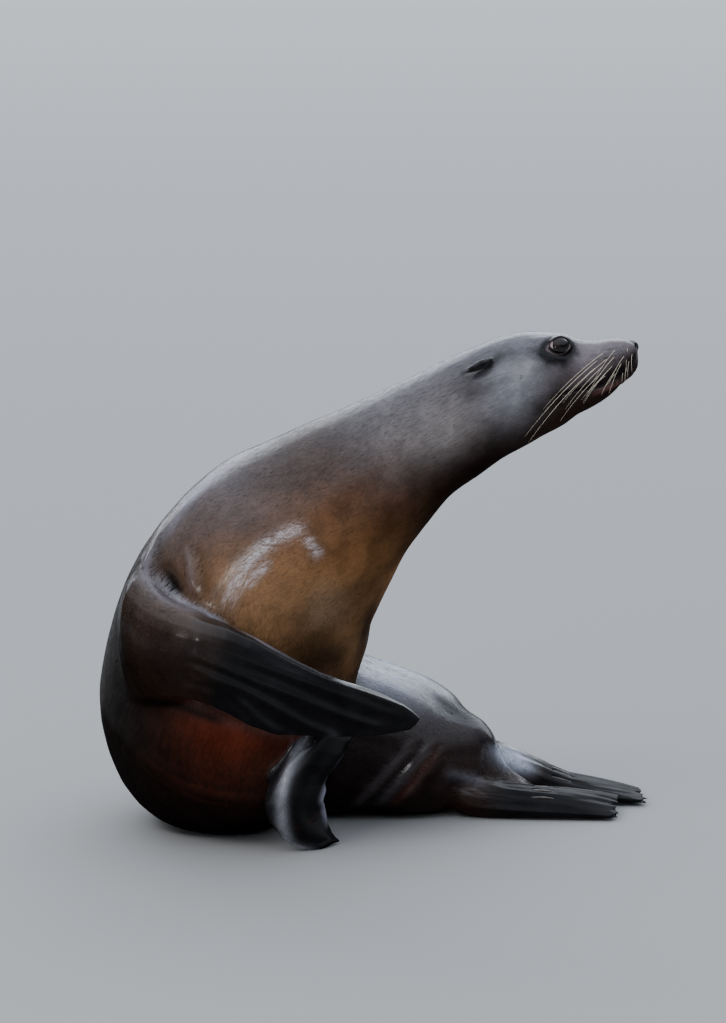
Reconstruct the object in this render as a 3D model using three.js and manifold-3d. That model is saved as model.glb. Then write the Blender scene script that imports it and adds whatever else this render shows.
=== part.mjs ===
// A young female sea lion, life size, in millimetres, +Z up, standing on z = 0.
// She sits upright with her hindquarters curled round to her left, her neck stretched and her
// head turned left.
// Her right foreflipper is held across her belly and her left one props her up.
// +X runs the way she looks, and -Y is the side that her right cheek faces.

import * as THREE from "three";
import { mergeVertices } from "three/addons/utils/BufferGeometryUtils.js";
import Module from "manifold-3d";

const wasm = await Module();
wasm.setup();

// ---- Driving dimensions ----

const GAP = 0.3; // between neighbouring solids
const AROUND = 28; // points round each section of the body
const EYE_RADIUS = 15;
const FIN_EDGE = 3; // thickness of the rim of a flipper

// Sections of the body from nose to tail: name, centre [x, y, z], half width, depth above and below the
// centre, squareness (2 is an ellipse), steps to the next section, and a direction the back leans towards.
const UPRIGHT = [-0.5, 0.19, 1];
const NECK = [-0.52, 0.24, 0.95];
const TURNING = [-0.56, 0.42, 0.7];
const TURNED = [-0.53, 0.85, 0.1];
const RISING = [-0.42, 0.85, 0.35];
const PRONE = [0, 0, 1];
const SECTIONS = [
  ["nose_tip", [337.5, -45, 640.5], 11, 9, 10, 2.2, 1, UPRIGHT],
  ["nose", [334.5, -45, 640.2], 19, 16, 17.5, 2.3, 1, UPRIGHT],
  ["lip", [327.5, -45, 638.5], 27, 21.5, 24, 2.3, 1, UPRIGHT],
  ["whisker_pad", [318.5, -45, 635.8], 33, 26, 28.4, 2.3, 2, UPRIGHT],
  ["muzzle", [302.5, -45, 630.5], 37, 30, 33, 2.3, 2, UPRIGHT],
  ["bridge", [286.4, -45, 623.3], 41, 38.2, 40.2, 2.3, 2, UPRIGHT],
  ["stop", [266.8, -45, 616.7], 46, 45.7, 47.7, 2.5, 2, UPRIGHT],
  ["eyes", [241.9, -45, 613], 54, 56.1, 58.1, 2.6, 2, UPRIGHT],
  ["cheeks", [215.2, -44, 605.7], 64, 65.6, 65.6, 2.6, 2, UPRIGHT],
  ["temples", [189.1, -43, 597.8], 70, 70.3, 70.3, 2.5, 2, UPRIGHT],
  ["ears", [159.6, -42, 584.6], 73, 71.9, 72.9, 2.3, 2, UPRIGHT],
  ["nape", [125.4, -40, 566.9], 76, 74, 74, 2.1, 2, UPRIGHT],
  ["upper_neck", [91.9, -38, 545.4], 78, 76.8, 76.8, 2, 2, UPRIGHT],
  ["mid_neck", [49.5, -34, 520.5], 82, 81.6, 81.6, 2, 2, NECK],
  ["lower_neck", [1.3, -27, 482.9], 97.3, 96.1, 96.1, 2, 2, NECK],
  ["throat_base", [-41.9, -21, 448.2], 113.1, 112.2, 111.2, 2, 2, TURNING],
  ["withers", [-82.5, -12, 404.2], 135.8, 140.9, 121.6, 2, 2, [-0.56, 0.64, 0.4]],
  ["shoulders", [-124.2, -2, 359.3], 152.7, 148.8, 142.7, 2, 2, TURNED],
  ["chest", [-156.8, 8, 304.3], 162.8, 154.9, 150.8, 2, 2, TURNED],
  ["ribs", [-181.5, 20, 246.5], 166, 158, 162, 2, 2, RISING],
  ["belly", [-200.3, 38, 176], 164, 150, 196, 2, 2, [-0.24, 0.66, 0.7]],
  ["flank", [-199, 84, 146], 156, 136, 170, 2.1, 2, [-0.08, 0.3, 0.95]],
  ["loin", [-172, 142, 132], 146, 124, 138, 2.2, 2, PRONE],
  ["waist", [-108, 170, 118], 136, 114, 126, 2.4, 2, PRONE],
  ["hips", [-30, 173, 102.7], 133, 93.5, 114, 2.4, 2, PRONE],
  ["rump", [38, 161, 87.7], 126, 83.6, 96, 2.4, 2, PRONE],
  ["thighs", [88, 145, 70], 103, 66.7, 78, 2.5, 2, PRONE],
  ["tail_root", [124, 138, 62.2], 70, 58.7, 60, 2.2, 2, PRONE],
  ["tail_base", [152, 132, 50], 42, 34, 42, 2.1, 1, PRONE],
  ["tail_stem", [172, 130, 44], 20, 17, 22, 2, 1, PRONE],
  ["tail_mid", [196, 128, 36], 15, 11, 14, 2, 1, PRONE],
  ["tail_tip", [220, 127, 27], 7, 6, 7, 2, 1, PRONE],
];

// Swellings and hollows of the surface: section name, how far past it, degrees from the back line (both
// sides alike), reach along in sections, reach round in degrees, and height in millimetres.
const FORMS = [
  ["eyes", 0.0, 40, 0.8, 18, 4], // brow
  ["eyes", 0.0, 62, 0.6, 20, 3], // orbit
  ["stop", 0.3, 58, 0.5, 16, -2.5], // hollow in front of the eye
  ["whisker_pad", 0.5, 92, 0.9, 26, 3],
  ["cheeks", 0.3, 84, 1.2, 24, 2],
  ["chest", 0.0, 82, 0.9, 26, 8], // shoulder
];

// Where the body is parted, from nose to tail.
const PARTS = [
  ["head", "nose_tip", "nape"],
  ["neck", "nape", "lower_neck"],
  ["shoulders", "lower_neck", "shoulders"],
  ["chest", "shoulders", "belly"],
  ["belly", "belly", "loin"],
  ["loin", "loin", "hips"],
  ["rump", "hips", "tail_base"],
  ["tail", "tail_base", "tail_tip"],
];

const v3 = (p) => new THREE.Vector3(...p);
const sectionIndex = (name) => SECTIONS.findIndex((s) => s[0] === name);

// ---- The line of the body ----

const LAST = SECTIONS.length - 1;
const spine = new THREE.CatmullRomCurve3(SECTIONS.map((s) => v3(s[1])), false, "centripetal");
const even = (points) => new THREE.CatmullRomCurve3(points, false, "catmullrom", 0.5);
const girth = even(SECTIONS.map((s) => v3([s[2], s[3], s[4]])));
const lean = even(SECTIONS.map((s) => v3(s[7])));
const along = (curve, t) => curve.getPoint(THREE.MathUtils.clamp(t / LAST, 0, 1));

function tangentAt(t) {
  const step = 0.3;
  return along(spine, t + step).sub(along(spine, t - step)).normalize(); // tailwards
}

// Centre, back direction, right direction and the bend of the line at section number t.
function frameAt(t) {
  const tangent = tangentAt(t);
  const back = along(lean, t);
  back.addScaledVector(tangent, -back.dot(tangent)).normalize();
  const right = new THREE.Vector3().crossVectors(back, tangent);
  const step = 0.5;
  const turn = tangentAt(t + step).sub(tangentAt(t - step));
  const run = along(spine, t + step).distanceTo(along(spine, t - step));
  const bend = turn.length() / Math.max(run, 1e-6);
  return { centre: along(spine, t), tangent, back, right, bend, inside: turn.normalize() };
}

function formHeight(t, degrees) {
  let height = 0;
  for (const [name, past, angle, reachAlong, reachRound, tall] of FORMS) {
    const da = (t - sectionIndex(name) - past) / reachAlong;
    const dr = (Math.abs(degrees) - angle) / reachRound;
    height += tall * Math.exp(-da * da - dr * dr);
  }
  return height;
}

const FOLD_SHARE = 0.86; // the inside of a bend reaches this far towards the bend's own centre
const SOFT = 10; // depth over which resting flesh flattens on the floor
const SINK = 3; // how far that flesh would pass below the floor, which makes the flats

function onFloor(z) {
  return z > 8 * SOFT ? z : SOFT * Math.log1p(Math.exp(z / SOFT)) - SINK;
}

// The underside of the hindquarters spreads where it lies on the floor.
const SPREAD = 1.3;
const spreadAt = (t) => SPREAD * THREE.MathUtils.smoothstep(t, sectionIndex("flank"), sectionIndex("waist"));

function sectionPoint(f, t, angle, grow) {
  const size = along(girth, t);
  const i = Math.min(LAST - 1, Math.floor(t));
  const c = Math.cos(angle);
  const spread = c < 0 ? spreadAt(t) : 0;
  const square = THREE.MathUtils.lerp(SECTIONS[i][5], SECTIONS[i + 1][5], t - i) + spread;
  const s = Math.sin(angle);
  const up = Math.sign(c) * Math.abs(c) ** (2 / square) * (c > 0 ? size.y : size.z);
  const side = Math.sign(s) * Math.abs(s) ** (2 / square) * size.x;
  const degrees = THREE.MathUtils.radToDeg(Math.atan2(s, c));
  const offset = f.back.clone().multiplyScalar(up).addScaledVector(f.right, side);
  offset.setLength(offset.length() + formHeight(t, degrees) + grow);
  const inward = offset.dot(f.inside);
  const limit = FOLD_SHARE / Math.max(f.bend, 1e-6);
  if (inward > 0 && limit < 2000) {
    const kept = inward / (1 + (inward / limit) ** 4) ** 0.25;
    offset.addScaledVector(f.inside, kept - inward);
  }
  const p = f.centre.clone().add(offset);
  p.z = onFloor(p.z);
  return p;
}

// A closed mesh through rings of points, with a flat fan at each end.
function skinOver(rings) {
  const n = rings[0].length;
  const points = rings.flat();
  const middle = (ring) => ring.reduce((a, p) => a.add(p), new THREE.Vector3()).divideScalar(n);
  points.push(middle(rings[0]), middle(rings.at(-1)));
  const first = points.length - 2;
  const index = [];
  for (let j = 0; j < rings.length - 1; j++) {
    for (let i = 0; i < n; i++) {
      const a = j * n + i;
      const b = j * n + ((i + 1) % n);
      index.push(a, b, a + n, b, b + n, a + n);
    }
  }
  const end = (rings.length - 1) * n;
  for (let i = 0; i < n; i++) {
    const k = (i + 1) % n;
    index.push(first, k, i, first + 1, end + i, end + k);
  }
  const geometry = new THREE.BufferGeometry().setFromPoints(points);
  geometry.setIndex(index);
  return geometry;
}

// The body between two section numbers, in the sections' own steps, with its ends moved in by inset.
function bodyRings(from, to, grow, inset) {
  const stops = [];
  for (let i = Math.floor(from); i < to; i++) {
    const steps = SECTIONS[i][6];
    for (let k = 0; k < steps; k++) {
      const t = i + k / steps;
      if (t > from && t < to) stops.push(t);
    }
  }
  return [from, ...stops, to].map((t, j, all) => {
    const f = frameAt(t);
    if (j === 0) f.centre.addScaledVector(f.tangent, inset);
    if (j === all.length - 1) f.centre.addScaledVector(f.tangent, -inset);
    const ring = [];
    for (let i = 0; i < AROUND; i++) ring.push(sectionPoint(f, t, (-2 * Math.PI * i) / AROUND, grow));
    return ring;
  });
}

// ---- Solids ----

function solidOf(geometry) {
  const g = new THREE.BufferGeometry();
  g.setAttribute("position", geometry.getAttribute("position"));
  g.setIndex(geometry.getIndex());
  const merged = mergeVertices(g, 1e-3);
  const mesh = { numProp: 3, vertProperties: merged.attributes.position.array };
  const made = new wasm.Manifold(new wasm.Mesh({ ...mesh, triVerts: new Uint32Array(merged.index.array) }));
  return made;
}

function geometryOf(solid) {
  const mesh = solid.getMesh();
  const g = new THREE.BufferGeometry();
  g.setAttribute("position", new THREE.BufferAttribute(mesh.vertProperties, 3));
  g.setIndex(new THREE.BufferAttribute(mesh.triVerts, 1));
  g.computeVertexNormals();
  return g;
}

function placed(geometry, position, rotation = [0, 0, 0], scale = [1, 1, 1]) {
  const matrix = new THREE.Matrix4().compose(
    v3(position),
    new THREE.Quaternion().setFromEuler(new THREE.Euler(...rotation)),
    v3(scale),
  );
  return geometry.applyMatrix4(matrix);
}

const AIR = solidOf(placed(new THREE.BoxGeometry(1400, 1200, 1000), [0, 0, 500]));

// ---- Flippers ----

// A blade between a leading and a trailing edge. thick is its full thickness and camber its hollow
// (away from the face side) at each of those points. Lobes are the rounded ends of its digits, rays
// the ridges over them.
function table(values, t) {
  const x = t * (values.length - 1);
  const i = Math.min(values.length - 2, Math.floor(x));
  return THREE.MathUtils.lerp(values[i], values[i + 1], x - i);
}

function edgesOf({ lead, trail }) {
  const leadCurve = new THREE.CatmullRomCurve3(lead.map(v3), false, "centripetal");
  const trailCurve = new THREE.CatmullRomCurve3(trail.map(v3), false, "centripetal");
  const middleAt = (t) => leadCurve.getPoint(t).add(trailCurve.getPoint(t)).multiplyScalar(0.5);
  return { leadCurve, trailCurve, middleAt };
}

// A point of the blade at t along it and u across it, on its face or its underside, raised by lift.
function bladePoint(shape, edges, t, u, face, lift = 0) {
  const { thick, camber, lobes, rays, lobeDepth, rim, flipped } = shape;
  const a = edges.leadCurve.getPoint(t);
  const chord = edges.trailCurve.getPoint(t).sub(a);
  const ahead = edges.middleAt(Math.min(1, t + 0.03));
  const tangent = ahead.sub(edges.middleAt(Math.max(0, t - 0.03))).normalize();
  const normal = new THREE.Vector3().crossVectors(chord, tangent).normalize();
  if (flipped) normal.negate();
  const fat = Math.sin(Math.PI * u ** rim) ** 0.7;
  const ray = rays * Math.cos(2 * Math.PI * lobes * u) * Math.sin(Math.PI * t) * fat;
  const half = FIN_EDGE / 2 + (table(thick, t) / 2 - FIN_EDGE / 2) * fat + (face ? ray : 0);
  const lobe = lobeDepth * t ** 4 * (Math.abs(Math.sin(Math.PI * lobes * u)) - 1);
  const hollow = table(camber, t) * Math.sin(Math.PI * u);
  const p = a.clone().addScaledVector(chord, u).addScaledVector(tangent, lobe);
  return p.addScaledVector(normal, (face ? half + lift : -half - lift) - hollow);
}

function blade(shape) {
  const { steps, across, flipped } = shape;
  const edges = edgesOf(shape);
  const rings = [];
  for (let j = 0; j <= steps; j++) {
    const ring = [];
    for (let i = 0; i < 2 * across; i++) {
      const face = i < across;
      const u = face ? (i + 0.5) / across : 1 - (i - across + 0.5) / across;
      ring.push(bladePoint(shape, edges, j / steps, u, face));
    }
    rings.push(flipped ? ring.reverse() : ring);
  }
  return skinOver(rings);
}

const FLIPPERS = {
  foreflipper_right: {
    lead: [
      [-235, 0, 384], [-283, -38, 376], [-292, -80, 362], [-270, -122, 340],
      [-223, -156, 323], [-167, -169, 306], [-115, -167, 275], [-55, -160, 243],
      [-3, -150, 222], [42, -141, 200], [60, -136, 182],
    ],
    trail: [
      [-320, -8, 186], [-316, -66, 187], [-297, -108, 191], [-270, -132, 199],
      [-245, -146, 204], [-201, -160, 193], [-152, -162, 167], [-103, -154, 159],
      [-52, -146, 156], [4, -138, 157], [46, -134, 165],
    ],
    thick: [20, 44, 62, 56, 46, 37, 31, 25, 19, 13, 8],
    camber: [-8, -10, -10, -8, -6, -3, 0, 3, 3, 2, 0],
    steps: 19, across: 10, lobes: 5, rays: 1.2, lobeDepth: 5, rim: 0.6, flipped: false,
  },
  foreflipper_left: {
    lead: [
      [-95, -20, 238], [-74, -68, 196], [-85, -102, 160], [-110, -126, 135],
      [-133, -138, 104], [-144, -142, 78], [-141, -134, 46], [-118, -122, 19],
      [-93, -113, 5], [-69, -104, 1],
    ],
    trail: [
      [-52, 28, 216], [-26, -12, 180], [-26, -52, 148], [-43, -82, 114],
      [-62, -92, 93], [-66, -92, 72], [-65, -86, 48], [-58, -78, 26],
      [-52, -72, 11], [-44, -66, 2],
    ],
    thick: [24, 46, 48, 38, 31, 27, 23, 18, 14, 9],
    camber: [0, 0, 0, 3, 8, 12, 14, 11, 7, 3],
    steps: 19, across: 10, lobes: 5, rays: 0.8, lobeDepth: 3, rim: 0.5, flipped: false,
  },
  hindflipper_left: {
    lead: [
      [60, 112, 44], [107, 74, 12], [142, 66, 7], [180, 60, 6], [228, 56, 6], [274, 54, 5],
      [322, 52, 4],
    ],
    trail: [
      [52, 168, 62], [109, 126, 52], [143, 128, 42], [184, 130, 32], [231, 132, 28], [278, 136, 24],
      [330, 142, 16],
    ],
    thick: [58, 52, 40, 28, 20, 14, 8],
    camber: [0, -4, -6, -8, -8, -7, -4],
    steps: 10, across: 14, lobes: 5, rays: 1.6, lobeDepth: 20, rim: 0.75, flipped: true,
  },
  hindflipper_right: {
    lead: [
      [92, 196, 56], [140, 166, 46], [170, 158, 34], [210, 152, 22], [254, 148, 12], [304, 144, 8],
      [366, 138, 6],
    ],
    trail: [
      [96, 240, 66], [140, 214, 76], [170, 204, 74], [210, 206, 54], [252, 212, 32], [306, 220, 20],
      [360, 226, 6],
    ],
    thick: [64, 58, 46, 32, 22, 15, 8],
    camber: [0, -4, -6, -6, -4, -3, -2],
    steps: 10, across: 14, lobes: 5, rays: 1.6, lobeDepth: 20, rim: 0.75, flipped: true,
  },
};

// ---- Small parts ----

// A tapering rod through points, rounded by rings that are squashed along one direction.
function rod(points, radii, squash, squashWay, around, steps) {
  const curve = new THREE.CatmullRomCurve3(points.map(v3), false, "centripetal");
  const rings = [];
  for (let j = 0; j <= steps; j++) {
    const t = j / steps;
    const r = table(radii, t);
    const tangent = curve.getTangent(t);
    const flat = v3(squashWay);
    flat.addScaledVector(tangent, -flat.dot(tangent)).normalize();
    const wide = new THREE.Vector3().crossVectors(tangent, flat);
    const ring = [];
    for (let k = 0; k < around; k++) {
      const angle = (2 * Math.PI * k) / around;
      const p = curve.getPoint(t).addScaledVector(flat, -r * squash * Math.cos(angle));
      ring.push(p.addScaledVector(wide, -r * Math.sin(angle)));
    }
    rings.push(ring);
  }
  return solidOf(skinOver(rings));
}

const ball = (radius, place, scale = [1, 1, 1]) =>
  solidOf(placed(new THREE.SphereGeometry(radius, 14, 9), place, [Math.PI / 2, 0, 0], scale));

// A point of the face from the middle of the head at the eyes: distance towards the tail, up, and
// out to a side.
const face = frameAt(sectionIndex("eyes"));
const facePoint = (tailward, up, out) =>
  face.centre.clone()
    .addScaledVector(face.tangent, tailward)
    .addScaledVector(face.back, up)
    .addScaledVector(face.right, out)
    .toArray();

// The line of the lips from in front of the nose to the corner of the mouth: tailward, up, and how
// near to the middle of the face the slot between them reaches.
const LIP_LINE = [
  [-112, -11, -3], [-94, -15, -2], [-82, -18, 13], [-66, -21.5, 21], [-52, -25, 25],
  [-36, -28, 29], [-16, -28.5, 36], [7, -26, 44],
];
const LIP_GAP = 1.4;

function lipSlot(side) {
  const rings = LIP_LINE.map(([tailward, up, inner]) =>
    [[inner, -1], [inner, 1], [90, 1], [90, -1]].map(([out, edge]) =>
      v3(facePoint(tailward, up + (edge * LIP_GAP) / 2, side * out))));
  if (side > 0) rings.forEach((ring) => ring.reverse());
  return solidOf(skinOver(rings));
}

const model = new THREE.Group();
const finish = (hex, roughness) => new THREE.MeshStandardMaterial({ color: hex, roughness, metalness: 0 });
const FUR = finish(0x3a2822, 0.35);
const FLIPPER_SKIN = finish(0x17171a, 0.4);
const NOSE_SKIN = finish(0x0c0c0e, 0.3);
const EYE = finish(0x120d0b, 0.08);
const CLAW = finish(0x2a2420, 0.45);

function add(name, solid, material) {
  const mesh = new THREE.Mesh(geometryOf(solid), material);
  mesh.name = name;
  model.add(mesh);
}

const body = (from, to, grow, inset) => solidOf(skinOver(bodyRings(from, to, grow, inset)));
const grownParts = PARTS.map(([, from, to]) => body(sectionIndex(from), sectionIndex(to), GAP, 0));
const wholeGrown = grownParts.reduce((whole, part) => whole.add(part));

// ---- Head ----

const head = { first: sectionIndex("nose_tip"), last: sectionIndex("nape") };
const NOSE_CENTRE = facePoint(-92.5, 18, 0);
const NOSE_SIZE = [10, 9, 14]; // forward, up, across
const nosePad = ball(1, NOSE_CENTRE, NOSE_SIZE);
const nosePadGrown = ball(1, NOSE_CENTRE, NOSE_SIZE.map((r) => r + GAP));
let headSolid = body(head.first, head.last, 0, GAP / 2).subtract(nosePadGrown);
headSolid = headSolid.subtract(lipSlot(1)).subtract(lipSlot(-1));
add("nose", nosePad, NOSE_SKIN);

const EYE_PLACE = [-1, 35, 41]; // tailward, up, out
const EAR_LINE = [[82, 34, 54], [90, 33, 65], [101, 31, 71], [113, 28, 73], [124, 26, 73]];
for (const [side, out] of [["right", 1], ["left", -1]]) {
  const eyeCentre = facePoint(EYE_PLACE[0], EYE_PLACE[1], out * EYE_PLACE[2]);
  headSolid = headSolid.subtract(ball(EYE_RADIUS + GAP, eyeCentre));
  add(`eye_${side}`, ball(EYE_RADIUS, eyeCentre), EYE);
  const earLine = EAR_LINE.map(([tailward, up, away]) => facePoint(tailward, up, out * away));
  const ear = rod(earLine, [3.5, 6.5, 6.8, 4.8, 1.4], 0.62, [0, 1, 0], 10, 6);
  add(`ear_${side}`, ear.subtract(wholeGrown), FUR);
}

// ---- Body ----

// Flesh presses on flesh inside the curl of the body: each part yields to those nearer the head.
PARTS.forEach(([name, from, to], i) => {
  let piece = name === "head" ? headSolid : body(sectionIndex(from), sectionIndex(to), 0, GAP / 2);
  for (const grown of grownParts.slice(0, i)) piece = piece.subtract(grown);
  add(name, piece.intersect(AIR), FUR);
});

// Claws on the three middle digits of each hind flipper, part of the way down them: where across,
// then how far along and how far above the skin each claw's line runs, and its radii.
const CLAW_AT = [0.3, 0.5, 0.7];
const CLAW_LINE = [[0.58, -1.5], [0.62, -0.2], [0.66, 0.6], [0.7, 0.4]];
const CLAW_RADII = [2, 2.8, 2.3, 0.8];
for (const [name, shape] of Object.entries(FLIPPERS)) {
  let solid = solidOf(blade(shape)).subtract(wholeGrown).intersect(AIR);
  if (name.startsWith("hind")) {
    const edges = edgesOf(shape);
    CLAW_AT.forEach((u, i) => {
      const line = CLAW_LINE.map(([t, lift]) => bladePoint(shape, edges, t, u, true, lift).toArray());
      const claw = rod(line, CLAW_RADII, 0.8, [0, 0, 1], 6, 3);
      const grown = rod(line, CLAW_RADII.map((r) => r + GAP), 0.8, [0, 0, 1], 6, 3);
      solid = solid.subtract(grown);
      add(`claw_${name.slice(12)}_${i + 1}`, claw, CLAW);
    });
  }
  add(name, solid, FLIPPER_SKIN);
}

// The origin is under the middle of the model's box.
const box = new THREE.Box3().setFromObject(model);
for (const mesh of model.children) {
  mesh.geometry.translate(-(box.min.x + box.max.x) / 2, -(box.min.y + box.max.y) / 2, 0);
}

export default model;
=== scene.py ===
"""A young sea lion, wet and sitting upright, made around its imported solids."""

import math

import bpy
import numpy as np
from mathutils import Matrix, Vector, kdtree
from mathutils.bvhtree import BVHTree


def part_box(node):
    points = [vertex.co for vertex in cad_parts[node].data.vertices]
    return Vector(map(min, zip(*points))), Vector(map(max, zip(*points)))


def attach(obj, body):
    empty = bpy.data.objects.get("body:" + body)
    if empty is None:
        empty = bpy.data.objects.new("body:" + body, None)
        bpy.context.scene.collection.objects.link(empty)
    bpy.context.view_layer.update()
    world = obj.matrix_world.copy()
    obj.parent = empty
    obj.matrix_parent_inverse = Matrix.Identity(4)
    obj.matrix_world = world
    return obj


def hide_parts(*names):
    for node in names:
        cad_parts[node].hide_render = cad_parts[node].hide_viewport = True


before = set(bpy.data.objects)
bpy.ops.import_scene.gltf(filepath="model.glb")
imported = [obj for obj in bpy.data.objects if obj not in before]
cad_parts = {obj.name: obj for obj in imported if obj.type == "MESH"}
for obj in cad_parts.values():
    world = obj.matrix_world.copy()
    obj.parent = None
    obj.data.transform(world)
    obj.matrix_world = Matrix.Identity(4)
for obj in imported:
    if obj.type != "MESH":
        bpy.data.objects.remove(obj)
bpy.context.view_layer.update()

bl_info = {
    "name": "Sea Lion",
    "version": (1, 0, 0),
    "blender": (4, 5, 0),
    "location": "View3D > Sidebar > Sea Lion",
    "description": "Makes a wet, sitting sea lion with its coat, eyes and whiskers",
    "category": "Mesh",
}

MM = 0.001

# ---- The line of the body, nose to tail, in millimetres: centre and the way its back looks ----

BODY_LINE = {
    "nose_tip": ((335.5, -105.9, 640.5), (-0.08, 0.18, 0.98)),
    "nose": ((332.5, -105.9, 640.2), (-0.17, 0.17, 0.97)),
    "lip": ((325.5, -105.9, 638.5), (-0.26, 0.17, 0.95)),
    "whisker_pad": ((316.5, -105.9, 635.8), (-0.29, 0.17, 0.94)),
    "muzzle": ((300.5, -105.9, 630.5), (-0.36, 0.17, 0.92)),
    "bridge": ((284.4, -105.9, 623.3), (-0.37, 0.17, 0.91)),
    "stop": ((264.8, -105.9, 616.7), (-0.22, 0.17, 0.96)),
    "eyes": ((239.9, -105.9, 613), (-0.19, 0.17, 0.97)),
    "cheeks": ((213.2, -104.9, 605.7), (-0.27, 0.16, 0.95)),
    "temples": ((187.1, -103.9, 597.8), (-0.34, 0.17, 0.93)),
    "ears": ((157.6, -102.9, 584.6), (-0.42, 0.17, 0.89)),
    "nape": ((123.4, -100.9, 566.9), (-0.49, 0.17, 0.85)),
    "upper_neck": ((89.9, -98.9, 545.4), (-0.5, 0.17, 0.85)),
    "mid_neck": ((47.5, -94.9, 520.5), (-0.53, 0.22, 0.82)),
    "lower_neck": ((-0.7, -87.9, 482.9), (-0.58, 0.23, 0.78)),
    "throat_base": ((-43.9, -81.9, 448.2), (-0.58, 0.43, 0.7)),
    "withers": ((-84.5, -72.9, 404.2), (-0.47, 0.66, 0.58)),
    "shoulders": ((-126.2, -62.9, 359.3), (-0.33, 0.85, 0.42)),
    "chest": ((-158.8, -52.9, 304.3), (-0.42, 0.83, 0.37)),
    "ribs": ((-183.5, -40.9, 246.5), (-0.43, 0.85, 0.31)),
    "belly": ((-202.3, -22.9, 176), (-0.27, 0.78, 0.56)),
    "flank": ((-201, 23.1, 146), (-0.07, 0.37, 0.93)),
    "loin": ((-174, 81.1, 132), (0.14, 0.14, 0.98)),
    "waist": ((-110, 109.1, 118), (0.19, 0.04, 0.98)),
    "hips": ((-32, 112.1, 102.7), (0.2, -0.01, 0.98)),
    "rump": ((36, 100.1, 87.7), (0.26, -0.07, 0.96)),
    "thighs": ((86, 84.1, 70), (0.26, -0.07, 0.96)),
    "tail_root": ((122, 77.1, 62.2), (0.29, -0.06, 0.95)),
    "tail_base": ((150, 71.1, 50), (0.35, -0.06, 0.93)),
    "tail_stem": ((170, 69.1, 44), (0.29, -0.03, 0.96)),
    "tail_mid": ((194, 67.1, 36), (0.33, -0.02, 0.94)),
    "tail_tip": ((218, 66.1, 27), (0.35, -0.01, 0.94)),
}
LINE_STEPS = 16

# Each flipper's middle line from its root to its tip, its half widths there, and the way across it
# towards its trailing edge.
FLIPPER_LINES = {
    "foreflipper_right": (
        ((-280, -65, 285), (-302, -113, 281), (-296, -155, 276), (-272, -188, 269), (-236, -212, 263),
         (-186, -225, 258), (-136, -225, 221), (-81, -218, 201), (-29, -209, 187), (21, -200, 178),
         (51, -196, 174)),
        (108, 97, 87, 71, 61, 59, 57, 48, 41, 29, 11),
        (0.05, 0.03, -1.0),
    ),
    "foreflipper_left": (
        ((-75, -57, 227), (-53, -97, 192), (-55, -131, 160), (-71, -158, 133), (-92, -173, 109),
         (-104, -178, 87), (-107, -176, 64), (-101, -168, 39), (-87, -159, 19), (-73, -153, 7),
         (-58, -146, 2)),
        (34, 37, 39, 41, 42, 45, 46, 43, 36, 28, 23),
        (0.8, 0.5, 0.0),
    ),
    "hindflipper_left": (
        ((54, 79, 53), (85, 52, 40), (113, 37, 30), (155, 35, 22), (207, 33, 18), (263, 34, 15),
         (324, 36, 10)),
        (30, 31, 33, 36, 39, 42, 46),
        (0.0, 0.95, 0.25),
    ),
    "hindflipper_right": (
        ((92, 157, 61), (120, 139, 62), (144, 126, 60), (184, 118, 48), (232, 118, 28), (293, 121, 15),
         (361, 121, 6)),
        (23, 26, 29, 31, 32, 37, 44),
        (0.0, 0.95, 0.25),
    ),
}

# ---- The face: its middle at the eyes, in metres, and its own three directions ----

FACE = Vector((0.2399, -0.1059, 0.6130))
TAILWARD = Vector((-0.9802, 0.0184, -0.1972))
FACE_UP = Vector((-0.1913, 0.1686, 0.9669))
FACE_RIGHT = Vector((-0.0510, -0.9855, 0.1617))
EYE_RADIUS = 0.015
EYE_PLACE = (-0.001, 0.035, 0.041)  # tailward, up and out from the middle of the face
LID = 0.0011  # thickness of an eyelid
SEAM = 0.0004  # how far shells are grown to close the cuts between them
REGAIN = 0.0012  # what the trunk loses by being softened
# Places softened further before they are sculpted: middle and reach in metres.
SOFT_SPOTS = (
    ((-0.262, -0.165, 0.352), 0.055),
    ((-0.222, -0.195, 0.325), 0.045),
    ((-0.078, -0.085, 0.212), 0.045),
    ((0.150, 0.040, 0.075), 0.035),
)

TRUNK = ("head", "neck", "shoulders", "chest", "belly", "loin", "rump", "tail")
EARS = ("ear_right", "ear_left")
FLIPPERS = tuple(FLIPPER_LINES)


def face_point(tailward, up, out):
    return FACE + TAILWARD * tailward + FACE_UP * up + FACE_RIGHT * out


def in_face(points):
    """Points as tailward, up and out from the middle of the face."""
    axes = np.array([TAILWARD, FACE_UP, FACE_RIGHT])
    return (points - np.array(FACE)) @ axes.T


def from_eye(laid, side):
    """Places in the face as millimetres tailward of and above an eye, and out from the middle."""
    tailward, up, out = (laid / MM).T
    return tailward - EYE_PLACE[0] / MM, up - EYE_PLACE[1] / MM, out * side


def smooth_step(x, low, high):
    t = np.clip((x - low) / (high - low), 0, 1)
    return t * t * (3 - 2 * t)


def curve_through(points, steps):
    """A Catmull-Rom curve through rows of numbers, with this many steps between each two."""
    p = np.array(points, float)
    p = np.vstack([2 * p[0] - p[1], p, 2 * p[-1] - p[-2]])
    out = []
    for i in range(1, len(p) - 2):
        for k in range(steps):
            t = k / steps
            out.append(
                0.5
                * (
                    2 * p[i]
                    + (p[i + 1] - p[i - 1]) * t
                    + (2 * p[i - 1] - 5 * p[i] + 4 * p[i + 1] - p[i + 2]) * t**2
                    + (3 * p[i] - p[i - 1] - 3 * p[i + 1] + p[i + 2]) * t**3
                )
            )
    out.append(p[-2])
    return np.array(out)


def unit(rows):
    return rows / np.maximum(np.linalg.norm(rows, axis=-1, keepdims=True), 1e-12)


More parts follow.
